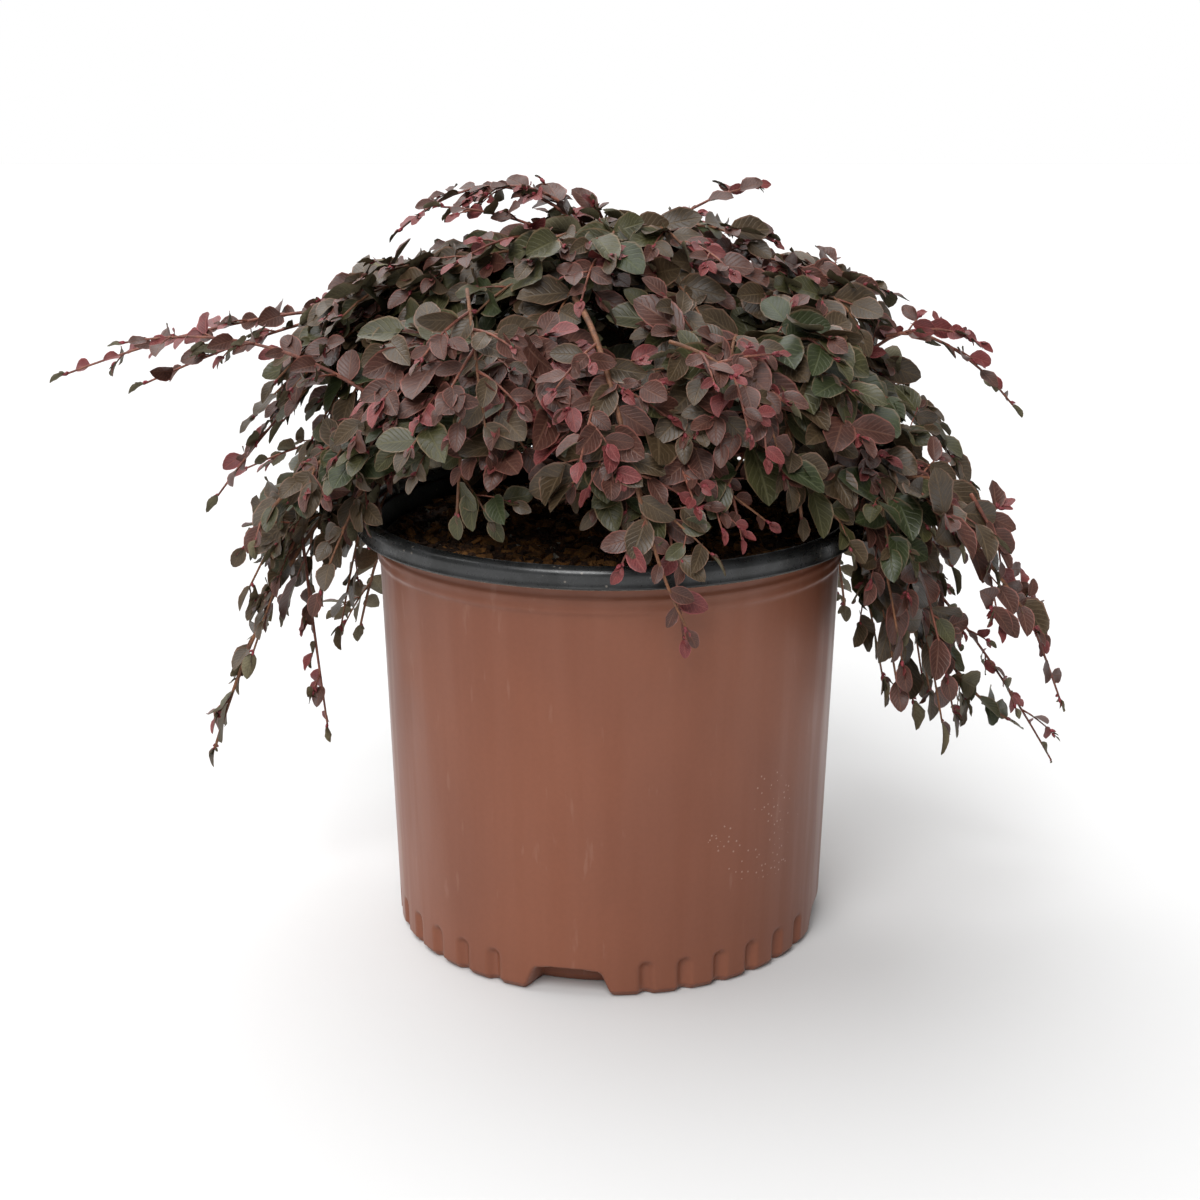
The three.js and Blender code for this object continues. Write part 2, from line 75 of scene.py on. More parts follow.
STEM_STEPS = 6
TWIG_DROOP = 0.28
USUAL = {"bare": 0.36, "twigs": 7, "twig_length": 60.0, "drawn_in": 0.0, "slim": 0.0, "ends": 1.0}

# name, parent, fork, azimuth at the fork and at the tip, reach, height of the brow and of the tip,
# and what is unlike the usual
LIMBS = (
    ("front", None, 16, -96, -86, 144, 380, 256, {"twigs": 9}),
    ("front_right", None, 26, -46, -24, 240, 346, 186, {"drawn_in": 0.55, "slim": 0.3, "ends": 0.94}),
    ("right", None, 16, -4, 10, 246, 350, 92, {"drawn_in": 1.4, "slim": 0.75, "ends": 0.94}),
    ("back_right", None, 26, 40, 50, 232, 346, 128, {"drawn_in": 0.4}),
    ("back", None, 16, 84, 92, 228, 346, 140, {"drawn_in": 0.3, "ends": 0.95}),
    ("back_left", None, 26, 128, 136, 232, 346, 120, {"drawn_in": 0.4}),
    ("left", None, 16, 172, 180, 234, 346, 92, {"drawn_in": 0.5, "slim": 0.6, "ends": 0.99}),
    ("front_left", None, 26, -146, -160, 220, 350, 216, {"drawn_in": 0.4, "slim": 0.6, "ends": 0.9}),
    ("leader", None, 36, 70, 100, 14, 366, 366, {"bare": 0.34, "twigs": 8, "twig_length": 54.0}),
    ("mid_front_right", "front_right", 0.2, -60, -54, 150, 390, 262, {"twigs": 9}),
    ("mid_right", "right", 0.22, -14, -14, 162, 394, 290, {"drawn_in": 1.8, "slim": 0.5, "ends": 0.92}),
    ("mid_back_right", "back_right", 0.22, 30, 28, 160, 390, 284, {"drawn_in": 0.8}),
    ("mid_back", "back", 0.22, 78, 72, 158, 390, 280, {}),
    ("mid_back_left", "back_left", 0.22, 122, 116, 160, 390, 280, {}),
    ("mid_left", "left", 0.22, 164, 162, 164, 390, 292, {}),
    ("mid_front_left", "front_left", 0.2, -132, -123, 150, 390, 264, {"twigs": 9}),
)

# limb, bud, azimuth, reach, height, brow
SHOOTS = [
    ("mid_left", 6, 180, 303, 312, 346),
    ("front_left", 3, -168, 262, 338, 352),
    ("mid_left", 5, 183, 258, 309, 340),
    ("leader", 11, 33, 90, 409, 404),
    ("leader", 9, 186, 96, 403, 400),
    ("mid_right", 7, -4, 212, 298, 346),
    ("front_right", 7, -14, 244, 146, 226),
    ("left", 6, 187, 166, 116, 176),
    ("back_left", 6, 158, 240, 240, 262),
    ("front", 4, -79, 154, 208, 330),
]
SPRAYS = 8
SPRAY_TURN = 3 * 360 / SPRAYS
for n in range(SPRAYS):
    odd = n % 2
    SHOOTS.append(("leader", 3 + n, -103 + n * SPRAY_TURN, 92 + 9 * odd, 364 + 14 * odd, 408))

# Finer strands of a limb: hundredths along it, azimuth, reach, height, brow, size of leaf,
# and age in hundredths
STRANDS = {
    "right": (
        (42, -34, 172, 168, 300, 29, 48), (50, -19, 184, 132, 290, 31, 43), (50, 4, 194, 112, 290, 29, 58),
        (45, 24, 176, 150, 300, 28, 43), (38, -22, 152, 158, 290, 31, 33), (40, 14, 160, 176, 290, 30, 38),
        (42, -28, 158, 190, 300, 29, 38), (50, -10, 174, 140, 290, 31, 38), (50, 12, 182, 128, 290, 30, 33),
        (60, 8, 260, 74, 180, 14, 85), (45, -4, 166, 128, 280, 31, 38), (42, -3, 184, 206, 310, 29, 38),
        (40, 0, 192, 252, 330, 29, 33),
    ),
    "back_right": ((50, 30, 190, 176, 300, 26, 43),),
    "front_right": ((55, -30, 194, 172, 290, 26, 60), (50, -36, 178, 180, 300, 27, 53)),
    "left": (
        (42, 192, 164, 206, 300, 28, 35), (50, 185, 206, 158, 290, 26, 45), (45, 168, 166, 158, 300, 27, 35),
        (38, 196, 142, 226, 300, 27, 25), (45, 184, 206, 196, 300, 28, 25), (42, 179, 200, 220, 310, 29, 20),
    ),
    "mid_left": (
        (60, 182, 222, 246, 322, 20, 70), (50, 180, 200, 290, 345, 25, 40), (40, 176, 168, 332, 380, 24, 50),
        (45, 186, 186, 312, 362, 25, 35), (45, 183, 184, 288, 352, 26, 30), (42, 190, 168, 282, 352, 27, 25),
        (50, 176, 186, 296, 356, 24, 45), (45, 190, 174, 306, 366, 24, 50), (38, 180, 176, 320, 372, 25, 40),
        (50, 168, 190, 300, 350, 25, 30), (50, 196, 180, 312, 352, 22, 55), (36, 184, 150, 318, 372, 27, 25),
        (36, 172, 156, 308, 366, 27, 20), (30, 178, 134, 356, 385, 25, 40), (35, 180, 160, 346, 384, 26, 50),
        (30, 170, 148, 354, 390, 25, 60), (30, 192, 150, 348, 384, 27, 35),
    ),
    "back_left": ((40, 165, 150, 214, 300, 26, 25),),
    "front_left": ((45, -152, 178, 212, 310, 24, 45), (40, -168, 152, 300, 350, 27, 30)),
    "mid_right": (
        (60, -6, 192, 332, 356, 16, 85), (30, -4, 130, 352, 385, 26, 60), (30, 10, 138, 350, 384, 26, 50),
        (30, -22, 132, 344, 382, 27, 40),
    ),
    "mid_front_left": ((55, -150, 168, 284, 356, 24, 50), (50, -114, 150, 302, 366, 22, 50)),
    "leader": (
        (75, 172, 142, 355, 397, 24, 45), (80, 200, 118, 362, 400, 24, 50), (90, 155, 62, 370, 400, 27, 30),
        (80, 5, 136, 360, 394, 24, 50), (90, -60, 60, 388, 408, 26, 35), (85, 120, 96, 376, 404, 25, 35),
        (70, 60, 110, 360, 395, 25, 35), (90, -95, 66, 384, 408, 28, 30), (90, -130, 72, 380, 408, 28, 35),
        (90, -20, 70, 386, 408, 28, 35), (75, 190, 96, 366, 398, 28, 30), (60, -140, 98, 354, 392, 34, 20),
        (60, -112, 92, 352, 392, 33, 35), (60, -166, 106, 354, 392, 33, 25), (60, -64, 94, 352, 392, 30, 45),
        (60, -32, 102, 352, 392, 30, 55), (95, 170, 122, 388, 444, 17, 80), (90, 172, 90, 400, 436, 18, 75),
        (95, 200, 16, 404, 398, 20, 75), (60, 186, 134, 366, 395, 24, 45), (70, -12, 124, 362, 396, 24, 65),
    ),
    "front": ((50, -97, 170, 300, 352, 20, 70), (45, -112, 148, 300, 356, 22, 60)),
    "mid_front_right": ((50, -72, 152, 304, 366, 22, 50),),
}

# Stems that show at the front: control points, thickness, size of leaf and age
SHOWN_STEMS = (
    (((-18, -76, 364), (4, -156, 348), (8, -153, 270), (37, -153, 214)), 1.7, 22, 0.62),
    (((-70, -104, 372), (-66, -138, 362), (-63, -146, 332), (-58, -144, 300)), 1.1, 22, 0.45),
    (((28, -126, 350), (52, -146, 347), (74, -148, 328), (80, -144, 298)), 1.1, 18, 0.7),
    (((20, -122, 304), (34, -126, 294), (58, -127, 276), (78, -124, 260)), 1.2, 16, 0.7),
)


# Node helpers
def linear(*colour):
    """An sRGB colour in 0-255 as a linear RGBA tuple; no colour here is nearly black."""
    return (*(((value / 255.0 + 0.055) / 1.055) ** 2.4 for value in colour), 1.0)


def new_material(name):
    material = bpy.data.materials.new(name)
    material.use_nodes = True
    return material, material.node_tree, material.node_tree.nodes["Principled BSDF"]


def feed(tree, socket, value):
    """Links a socket to another node's output, or gives it a plain value."""
    if isinstance(value, bpy.types.NodeSocket):
        tree.links.new(value, socket)
    else:
        socket.default_value = value


def plug(tree, node, **values):
    """Feeds a node's sockets by their labels."""
    for label, value in values.items():
        feed(tree, node.inputs[label.replace("_", " ")], value)


def math_node(tree, operation, first, second=0.0):
    node = tree.nodes.new("ShaderNodeMath")
    node.operation = operation
    feed(tree, node.inputs[0], first)
    feed(tree, node.inputs[1], second)
    return node.outputs[0]


def product(tree, first, second):
    return math_node(tree, "MULTIPLY", first, second)


def vector_math(tree, operation, vector, fixed):
    node = tree.nodes.new("ShaderNodeVectorMath")
    node.operation = operation
    tree.links.new(vector, node.inputs[0])
    node.inputs[1].default_value = fixed
    return node.outputs["Value"]


# Places of the Mix node's factor and colour sockets
MIX_SOCKETS = (0, 6, 7)
MIXED_COLOUR = 2


def mix_colour(tree, factor, first, second, blend="MIX"):
    node = tree.nodes.new("ShaderNodeMix")
    node.data_type = "RGBA"
    node.blend_type = blend
    for place, value in zip(MIX_SOCKETS, (factor, first, second)):
        feed(tree, node.inputs[place], value)
    return node.outputs[MIXED_COLOUR]


def spread(tree, value, low, high, to_low=0.0, to_high=1.0):
    node = tree.nodes.new("ShaderNodeMapRange")
    node.interpolation_type = "SMOOTHSTEP"
    tree.links.new(value, node.inputs[0])
    for socket, number in zip(node.inputs[1:5], (low, high, to_low, to_high)):
        socket.default_value = number
    return node.outputs[0]


def noise_value(tree, coordinates, scale, detail=2.0, stretch=None):
    if stretch:
        mapping = tree.nodes.new("ShaderNodeMapping")
        plug(tree, mapping, Vector=coordinates, Scale=stretch)
        coordinates = mapping.outputs[0]
    node = tree.nodes.new("ShaderNodeTexNoise")
    plug(tree, node, Vector=coordinates, Scale=scale, Detail=detail)
    return node.outputs[0]


def object_place(tree):
    return tree.nodes.new("ShaderNodeTexCoord").outputs["Object"]


def new_group(name, inputs, outputs):
    tree = bpy.data.node_groups.new(name, "ShaderNodeTree")
    for way, sockets in (("INPUT", inputs), ("OUTPUT", outputs)):
        for label, kind in sockets.items():
            tree.interface.new_socket(label, in_out=way, socket_type="NodeSocket" + kind)
    entry = tree.nodes.new("NodeGroupInput")
    ending = tree.nodes.new("NodeGroupOutput")
    return tree, entry.outputs, ending


def place_group(tree, group, **values):
    node = tree.nodes.new("ShaderNodeGroup")
    node.node_tree = group
    plug(tree, node, **values)
    return node.outputs


def mottle_group():
    """Two colours mixed in soft patches, with fine darker grains."""
    tree, entry, ending = new_group(
        "mottle",
        {"Colour": "Color", "Patch": "Color", "Patch Scale": "Float", "Grain Scale": "Float",
         "Grain Depth": "Float"},
        {"Colour": "Color", "Grain": "Float"},
    )
    place = object_place(tree)
    patches = spread(tree, noise_value(tree, place, entry["Patch Scale"]), 0.35, 0.65)
    grain = spread(tree, noise_value(tree, place, entry["Grain Scale"], 4.0), 0.3, 0.7)
    patched = mix_colour(tree, patches, entry["Colour"], entry["Patch"])
    depth = product(tree, math_node(tree, "SUBTRACT", 1.0, grain), entry["Grain Depth"])
    plug(tree, ending, Colour=mix_colour(tree, depth, patched, (0.0, 0.0, 0.0, 1.0)), Grain=grain)
    return tree


VEIN_PAIRS = 7.0
VEIN_SLANT = 5.0


def leaf_face_group():
    """A leaf's face in its own UV map: midrib, side veins and a margin of another colour."""
    tree, entry, ending = new_group(
        "leaf_face",
        {"Blade": "Color", "Vein": "Color", "Margin": "Color", "Vein Strength": "Float"},
        {"Colour": "Color", "Height": "Float"},
    )
    uv = tree.nodes.new("ShaderNodeUVMap").outputs[0]
    parts = tree.nodes.new("ShaderNodeSeparateXYZ")
    tree.links.new(uv, parts.inputs[0])
    along, across = parts.outputs[0], parts.outputs[1]
    off = math_node(tree, "ABSOLUTE", math_node(tree, "SUBTRACT", across, 0.5))
    midrib = spread(tree, off, 0.01, 0.05, 1.0, 0.0)
    pairs = product(tree, along, VEIN_PAIRS)
    wave = math_node(tree, "SUBTRACT", pairs, product(tree, off, VEIN_SLANT))
    from_vein = math_node(tree, "SUBTRACT", math_node(tree, "FRACT", wave), 0.5)
    veins = spread(tree, math_node(tree, "ABSOLUTE", from_vein), 0.02, 0.16, 0.75, 0.0)
    lines = math_node(tree, "MAXIMUM", midrib, veins)
    margin = spread(tree, off, 0.425, 0.48)
    patches = spread(tree, noise_value(tree, object_place(tree), 70.0, 2.0), 0.3, 0.7, 0.74, 1.14)
    pebbles = spread(tree, noise_value(tree, object_place(tree), 1100.0, 3.0), 0.3, 0.7, 0.8, 1.16)
    toned = mix_colour(tree, 1.0, entry["Blade"], product(tree, patches, pebbles), "MULTIPLY")
    edged = mix_colour(tree, product(tree, margin, 0.7), toned, entry["Margin"])
    veined = mix_colour(tree, product(tree, lines, entry["Vein Strength"]), edged, entry["Vein"])
    plug(tree, ending, Colour=veined, Height=math_node(tree, "SUBTRACT", 1.0, lines))
    return tree


def speck_group():
    """A mask of small scattered specks, such as dust and splashes."""
    tree, entry, ending = new_group(
        "specks", {"Scale": "Float", "Size": "Float", "Rarity": "Float"}, {"Mask": "Float"},
    )
    place = object_place(tree)
    cells = tree.nodes.new("ShaderNodeTexVoronoi")
    plug(tree, cells, Vector=place, Scale=entry["Scale"])
    near = math_node(tree, "LESS_THAN", cells.outputs["Distance"], entry["Size"])
    sparse = math_node(tree, "GREATER_THAN", noise_value(tree, place, 40.0, 4.0), entry["Rarity"])
    plug(tree, ending, Mask=product(tree, near, sparse))
    return tree


MOTTLE = mottle_group()
LEAF_FACE = leaf_face_group()
SPECKS = speck_group()


def mottled(tree, colour, patch, patch_scale, grain_scale, grain_depth):
    return place_group(
        tree, MOTTLE, Colour=linear(*colour), Patch=linear(*patch),
        Patch_Scale=patch_scale, Grain_Scale=grain_scale, Grain_Depth=grain_depth,
    )


def with_dust(tree, clean, colour, scale, size, rarity):
    dust = place_group(tree, SPECKS, Scale=scale, Size=size, Rarity=rarity)["Mask"]
    return mix_colour(tree, product(tree, dust, 0.35), clean, linear(*colour))


def bump(tree, shader, height, strength, distance):
    node = tree.nodes.new("ShaderNodeBump")
    plug(tree, node, Strength=strength, Distance=distance, Height=height)
    plug(tree, shader, Normal=node.outputs[0])


SPLASHED_PLACE = (0.085, -0.095, 0.085)


def pot_wall_finish():
    """Blow-moulded red-brown plastic: drawn upright flow marks, scuffs and dust."""
    material, tree, shader = new_material("red_brown_plastic")
    place = object_place(tree)
    body = mottled(tree, (126, 75, 54), (119, 71, 52), 9.0, 420.0, 0.04)
    flow = spread(tree, noise_value(tree, place, 5.0, 3.0, (16.0, 16.0, 0.9)), 0.3, 0.7)
    drawn = mix_colour(tree, product(tree, flow, 0.1), body["Colour"], linear(146, 98, 80))
    scuffs = spread(tree, noise_value(tree, place, 30.0, 5.0, (6.0, 6.0, 1.0)), 0.64, 0.72)
    scuffed = mix_colour(tree, product(tree, scuffs, 0.1), drawn, linear(170, 140, 124))
    away = vector_math(tree, "DISTANCE", place, SPLASHED_PLACE)
    rarity = spread(tree, away, 0.015, 0.06, 0.5, 0.72)
    dusted = with_dust(tree, scuffed, (190, 168, 154), 330.0, 0.18, rarity)
    gloss = spread(tree, flow, 0.0, 1.0, 0.46, 0.34)
    plug(tree, shader, Base_Color=dusted, Roughness=gloss, Specular_IOR_Level=0.32)
    bump(tree, shader, noise_value(tree, place, 60.0, 3.0, (1.0, 1.0, 0.35)), 0.18, 0.0012)
    return material


def black_plastic_finish(name, shade, roughness):
    material, tree, shader = new_material(name)
    body = mottled(tree, shade, (44, 45, 46), 60.0, 500.0, 0.2)
    dusted = with_dust(tree, body["Colour"], (150, 140, 128), 260.0, 0.16, 0.63)
    gloss = spread(tree, body["Grain"], 0.0, 1.0, roughness + 0.08, roughness)
    plug(tree, shader, Base_Color=dusted, Roughness=gloss)
    bump(tree, shader, noise_value(tree, object_place(tree), 240.0, 3.0), 0.1, 0.0006)
    return material


def crumb_finish(name, colour, patch, roughness=0.95):
    """A rough, grainy finish."""
    material, tree, shader = new_material(name)
    body = mottled(tree, colour, patch, 170.0, 900.0, 0.45)
    plug(tree, shader, Base_Color=body["Colour"], Roughness=roughness)
    bump(tree, shader, body["Grain"], 0.5, 0.0006)
    return material


def bark_finish(name, colour, patch, roughness):
    material, tree, shader = new_material(name)
    body = mottled(tree, colour, patch, 150.0, 800.0, 0.4)
    plug(tree, shader, Base_Color=body["Colour"], Roughness=roughness)
    fibres = noise_value(tree, object_place(tree), 700.0, 4.0, (1.0, 1.0, 0.3))
    bump(tree, shader, fibres, 0.5, 0.0008)
    return material


def leaf_finish(name, blade, vein, margin, roughness):
    material, tree, shader = new_material(name)
    face = place_group(
        tree, LEAF_FACE, Blade=linear(*blade), Vein=linear(*vein), Margin=linear(*margin),
        Vein_Strength=0.5,
    )
    gloss = spread(tree, face["Height"], 0.0, 1.0, roughness + 0.12, roughness)
    plug(tree, shader, Base_Color=face["Colour"], Roughness=gloss, Specular_IOR_Level=0.42)
    bump(tree, shader, face["Height"], 0.35, 0.0005)
    return material


# Mesh helpers
def linked_object(name, data):
    thing = bpy.data.objects.new(name, data)
    bpy.context.scene.collection.objects.link(thing)
    return thing


def add_piece(mesh, materials, slot, *nodes):
    """A piece under its mesh's name, in place of the CAD nodes that are named."""
    for material in materials:
        mesh.materials.append(material)
    piece = linked_object(mesh.name, mesh)
    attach(piece, "root")
    if nodes:
        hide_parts(*nodes)


def finished_mesh(name, bm):
    """A bmesh in millimetres made a mesh in metres, welded and with its normals outwards."""
    bmesh.ops.remove_doubles(bm, verts=bm.verts, dist=0.004)
    bmesh.ops.recalc_face_normals(bm, faces=bm.faces)
    bmesh.ops.scale(bm, vec=(MM, MM, MM), verts=bm.verts)
    for face in bm.faces:
        face.smooth = True
    mesh = bpy.data.meshes.new(name)
    bm.to_mesh(mesh)
    bm.free()
    return mesh


def turned(profile, steps, closed=False):
    """A profile of (radius, height) spun a full turn about the pot's axis."""
    bm = bmesh.new()
    corners = [bm.verts.new((radius, 0.0, height)) for radius, height in profile]
    pairs = list(zip(corners, corners[1:]))
    if closed:
        pairs.append((corners[-1], corners[0]))
    edges = [bm.edges.new(pair) for pair in pairs]
    bmesh.ops.spin(
        bm, geom=corners + edges, cent=(0, 0, 0), axis=(0, 0, 1), angle=2 * math.pi, steps=steps,
        use_merge=True,
    )
    return bm


def joined_mesh(name, corners, faces, flat=False):
    """Corners in millimetres and their faces made one mesh in metres."""
    mesh = bpy.data.meshes.new(name)
    mesh.from_pydata((corners * MM).tolist(), [], faces, shade_flat=flat)
    return mesh


def lerp(first, second, share):
    return first + (second - first) * share


def smoothstep(low, high, value):
    share = np.clip((value - low) / (high - low), 0.0, 1.0)
    return share * share * (3.0 - 2.0 * share)


# Pot
def wall_radius(height):
    return lerp(FOOT_RADIUS, SHOULDER_RADIUS, height / SHOULDER_HEIGHT)


def dent_depth(azimuth, height):
    """How far the foot of the wall is pressed in by its notches and flutes."""
    quarter = (azimuth - NOTCH_AZIMUTH) % 90.0
    across = math.radians(min(quarter, 90.0 - quarter)) * FOOT_RADIUS
    half = NOTCH_HALF_WIDTH - NOTCH_TAPER * min(1.0, max(0.0, height) / NOTCH_HEIGHT)
    edge = 1.0 - smoothstep(half - 2.0, half + 2.0, across)
    head = 1.0 - smoothstep(NOTCH_HEIGHT - 1.6, NOTCH_HEIGHT + 1.6, height + 0.004 * across**2)
    inward = NOTCH_DEPTH * edge * head
    for n in range(FLUTES_PER_QUARTER):
        off = abs(quarter - FLUTE_FIRST - n * FLUTE_STEP)
        if off > FLUTE_STEP / 2:
            continue
        sideways = math.radians(off) * FOOT_RADIUS / FLUTE_RADIUS
        above = max(0.0, height - (FLUTE_TOP - FLUTE_RADIUS)) / FLUTE_RADIUS
        away = math.hypot(sideways, above)
        inward = max(inward, FLUTE_DEPTH * (1.0 - smoothstep(0.15, 1.15, away)))
    return inward


DENTS_TOP = 27.0
WALL_STEPS = 720


def make_pot():
    foot = [(wall_radius(z), z) for z in np.arange(3.6, DENTS_TOP, 1.0)]
    outer = [
        (0.0, 0.0), (50.0, 0.0), (86.0, 0.0), (98.0, 0.0), (116.8, 0.0), (118.0, 0.25), (119.0, 0.9),
        (119.7, 1.8), (120.05, 2.7), *foot,
        *((wall_radius(z), z) for z in (30, 40, 60, 90, 120, 150, 180, 200, 211)),
        (127.35, 211.6), (127.5, 212.6), (127.95, 213.6), (128.5, 214.4), (128.8, 215.3), (128.8, 216.4),
        (128.65, 217.6), (128.65, 219.0), (128.95, 220.0), (129.2, 221.0), (129.1, 222.0), (128.7, 222.8),
        (128.5, 223.8), (128.7, 225.4), (129.3, 227.2), (130.1, 228.6), (130.8, 229.6),
        (NECK_RADIUS, RIM_FOOT), (NECK_RADIUS, RIM_FOOT + 4.6), (130.2, RIM_FOOT + 4.6),
    ]
    inner = [(128.2, 228.0), (127.2, 223.0), (126.4, 205.0), (wall_radius(60) - 1.0, 60.0),
             (wall_radius(30) - 1.0, 30.0), (90.0, 24.0), (0.0, 24.0)]
    bm = turned([*outer, *inner], WALL_STEPS)
    for vert in bm.verts:
        x, y, z = vert.co
        radius = math.hypot(x, y)
        if z > DENTS_TOP - 0.5 or radius < 110.0 or radius < wall_radius(z) - 6.0:
            continue
        azimuth = math.degrees(math.atan2(y, x))
        share = (radius - dent_depth(azimuth, z if z >= 1.0 else 0.0)) / radius
        vert.co.x = x * share
        vert.co.y = y * share
    add_piece(finished_mesh("nursery_pot_wall", bm), [pot_wall_finish()], "pot_wall", "pot")


# Closed profiles at the rim: radius, and height above the rim's underside
BEAD = (
    (131.3, 0.1), (138.6, 0.0), (139.5, 0.15), (139.95, 0.6), (139.9, 1.1), (139.65, 1.5), (139.7, 4.0),
    (139.75, 6.6), (139.6, 8.0), (139.0, 9.3), (138.0, 10.2), (136.6, 10.8), (135.2, 11.0), (133.6, 10.8),
    (132.2, 10.2), (130.9, 9.1), (130.1, 7.8), (129.7, 6.2), (129.75, 5.0), (131.3, 4.9),
)
EDGE = ((138.4, -0.25), (139.1, -0.3), (139.55, 0.0), (139.1, 0.3), (138.4, 0.3))
LINING = (
    (129.5, 4.6), (130.1, 4.0), (128.0, -2.0), (127.1, -7.0), (126.3, -25.0), (125.6, -25.0),
    (126.3, -7.0), (127.2, -2.0), (128.9, 4.4),
)


def make_rim():
    # The rim_edge ring is a thin pale grey-brown line along the rim's lower edge
    pale_line = crumb_finish("pale_edge_line", (128, 120, 108), (92, 86, 78), 0.6)
    satin = black_plastic_finish("satin_black", (27, 28, 28), 0.27)
    matt = black_plastic_finish("matt_black", (26, 24, 23), 0.55)
    for name, profile, steps, finish, nodes in (
        ("rim_edge", EDGE, 180, pale_line, ()),
        ("rolled_rim", BEAD, 240, satin, ("pot_rim",)),
        ("black_lining", LINING, 180, matt, ()),
    ):
        bm = turned([(radius, RIM_FOOT + rise) for radius, rise in profile], steps, closed=True)
        add_piece(finished_mesh(name, bm), [finish], "pot_rim", *nodes)


# Bark mix
def soil_height(x, y):
    radius = math.hypot(x, y)
    rise = noise.noise(Vector((x, y, 0.0)) * 0.045) * 2.0
    rise += noise.noise(Vector((x, y, 9.0)) * 0.16) * 1.1
    level = SOIL_LEVEL - 0.2 + rise * smoothstep(16.0, 34.0, radius)
    return level - 2.2 * smoothstep(108.0, 123.0, radius)


def make_soil():
    reach = [0.0, 6.0, 12.0, *np.arange(16.0, 124.0, 2.4), 124.6]
    profile = [(0.0, 30.0), (118.0, 34.0), (124.6, 205.0), *((r, SOIL_LEVEL) for r in reversed(reach))]
    bm = turned(profile, 150)
    for vert in bm.verts:
        if vert.co.z > 220.0:
            vert.co.z = soil_height(vert.co.x, vert.co.y)
    peat = crumb_finish("peat", (92, 62, 38), (104, 74, 52))
    add_piece(finished_mesh("bark_mix", bm), [peat], "bark_mix", "soil")


CHIP_CORNERS = np.array([(x, y, z) for x in (-1, 1) for y in (-1, 1) for z in (-1, 1)], float)
CHIP_FACES = np.array([(0, 1, 3, 2), (4, 6, 7, 5), (0, 4, 5, 1), (2, 3, 7, 6), (0, 2, 6, 4), (1, 5, 7, 3)])


# name, count, sizes, flatness, lift, finish and its two colours
CHIPS = (
    ("brown_bark_chips", 520, (5.0, 15.0), 0.35, 0.4, "bark_brown", (176, 122, 66), (124, 86, 48)),
    ("dark_bark_chips", 640, (4.0, 12.0), 0.35, 0.4, "bark_dark", (88, 62, 44), (60, 42, 30)),
    ("fine_crumbs", 2600, (1.6, 4.2), 0.8, 0.4, "crumbs", (140, 96, 58), (80, 56, 40)),
    ("perlite", 70, (2.2, 4.4), 0.9, 0.8, "perlite_white", (214, 206, 192), (180, 170, 156)),
)


def scattered_chips(name, count, sizes, flatness, lift, seed):
    """Irregular chips that lie on the bark mix."""
    rng = np.random.default_rng(seed)
    corners = []
    for _ in range(count):
        radius = 120.0 * math.sqrt(rng.uniform(0.012, 1.0))
        azimuth = rng.uniform(0, 2 * math.pi)
        x, y = radius * math.cos(azimuth), radius * math.sin(azimuth)
        length = rng.uniform(*sizes)
        width = length * rng.uniform(0.35, 0.7)
        half = np.array([length, width, length * flatness * rng.uniform(0.4, 0.9)]) / 2
        shape = CHIP_CORNERS * half * rng.uniform(0.62, 1.0, (8, 3))
        turn = Euler((rng.normal(0, 0.35), rng.normal(0, 0.35), rng.uniform(0, 6.3))).to_matrix()
        place = np.array([x, y, soil_height(x, y) + lift * half[2]])
        corners.append(shape @ np.array(turn).T + place)
    faces = (CHIP_FACES[None] + 8 * np.arange(count)[:, None, None]).reshape(-1, 4)
    return joined_mesh(name, np.concatenate(corners), faces.tolist(), flat=True)


def make_chips():
    for seed, (name, count, sizes, flatness, lift, finish, *colours) in enumerate(CHIPS, 3):
        mesh = scattered_chips(name, count, sizes, flatness, lift, seed)
        add_piece(mesh, [crumb_finish(finish, *colours)], "bark_mix")


# The plant's growth, by the source's rule
def seeded(seed):
    """The source's generator, so that the main twigs grow in the same places."""
    mask = 0xFFFFFFFF
    state = seed

    def draw():
        nonlocal state
        state = (state + 0x6D2B79F5) & mask
        mixed = ((state ^ (state >> 15)) * (state | 1)) & mask
        mixed = (mixed + (((mixed ^ (mixed >> 7)) * (mixed | 61)) & mask) & mask) ^ mixed
        return ((mixed ^ (mixed >> 14)) & mask) / (mask + 1)

    return draw


def unit(vector):
    return vector / max(1e-9, math.sqrt(vector @ vector))


def polar(azimuth, reach, height):
    turn = math.radians(azimuth)
    return np.array([TRUNK_X + reach * math.cos(turn), TRUNK_Y + reach * math.sin(turn), float(height)])


def path_point(path, share):
    while len(path) > 1:
        path = path[:-1] + (path[1:] - path[:-1]) * share
    return path[0]


def path_heading(path, share):
    return unit(path_point(path[1:] - path[:-1], share))


def path_points(path, steps):
    return np.array([path_point(path, n / steps) for n in range(steps + 1)])


def path_length(path):
    points = path_points(path, 24)
    return float(np.sqrt(((points[1:] - points[:-1]) ** 2).sum(1)).sum())


def path_tail(path, share):
    """The control points of a cubic path's end, from a share of it onwards."""
    a, b, c = (lerp(path[k], path[k + 1], share) for k in range(3))
    d, e = lerp(a, b, share), lerp(b, c, share)
    return np.array([lerp(d, e, share), e, c, path[3]])


def outwards(place):
    return unit(place - CROWN_CENTRE)


def facing_out(place):
    return unit(outwards(place) + np.array([0.0, 0.0, 0.55]))


def frame_at(path, share, above):
    ahead = path_heading(path, share)
    side = unit(np.cross(above, ahead))
    return ahead, side, unit(np.cross(ahead, side))


def buds_on(path, steps, above, begin=0.0):
    buds = []
    for n in range(2 * steps):
        local = 0.8 if n % 2 else 0.2
        start, end = (lerp(begin, 1.0, (n // 2 + k) / steps) for k in (0, 1))
        place = lerp(path_point(path, start), path_point(path, end), local)
        buds.append((place, 1 if n % 2 else -1, *frame_at(path, lerp(start, end, local), above)))
    return buds


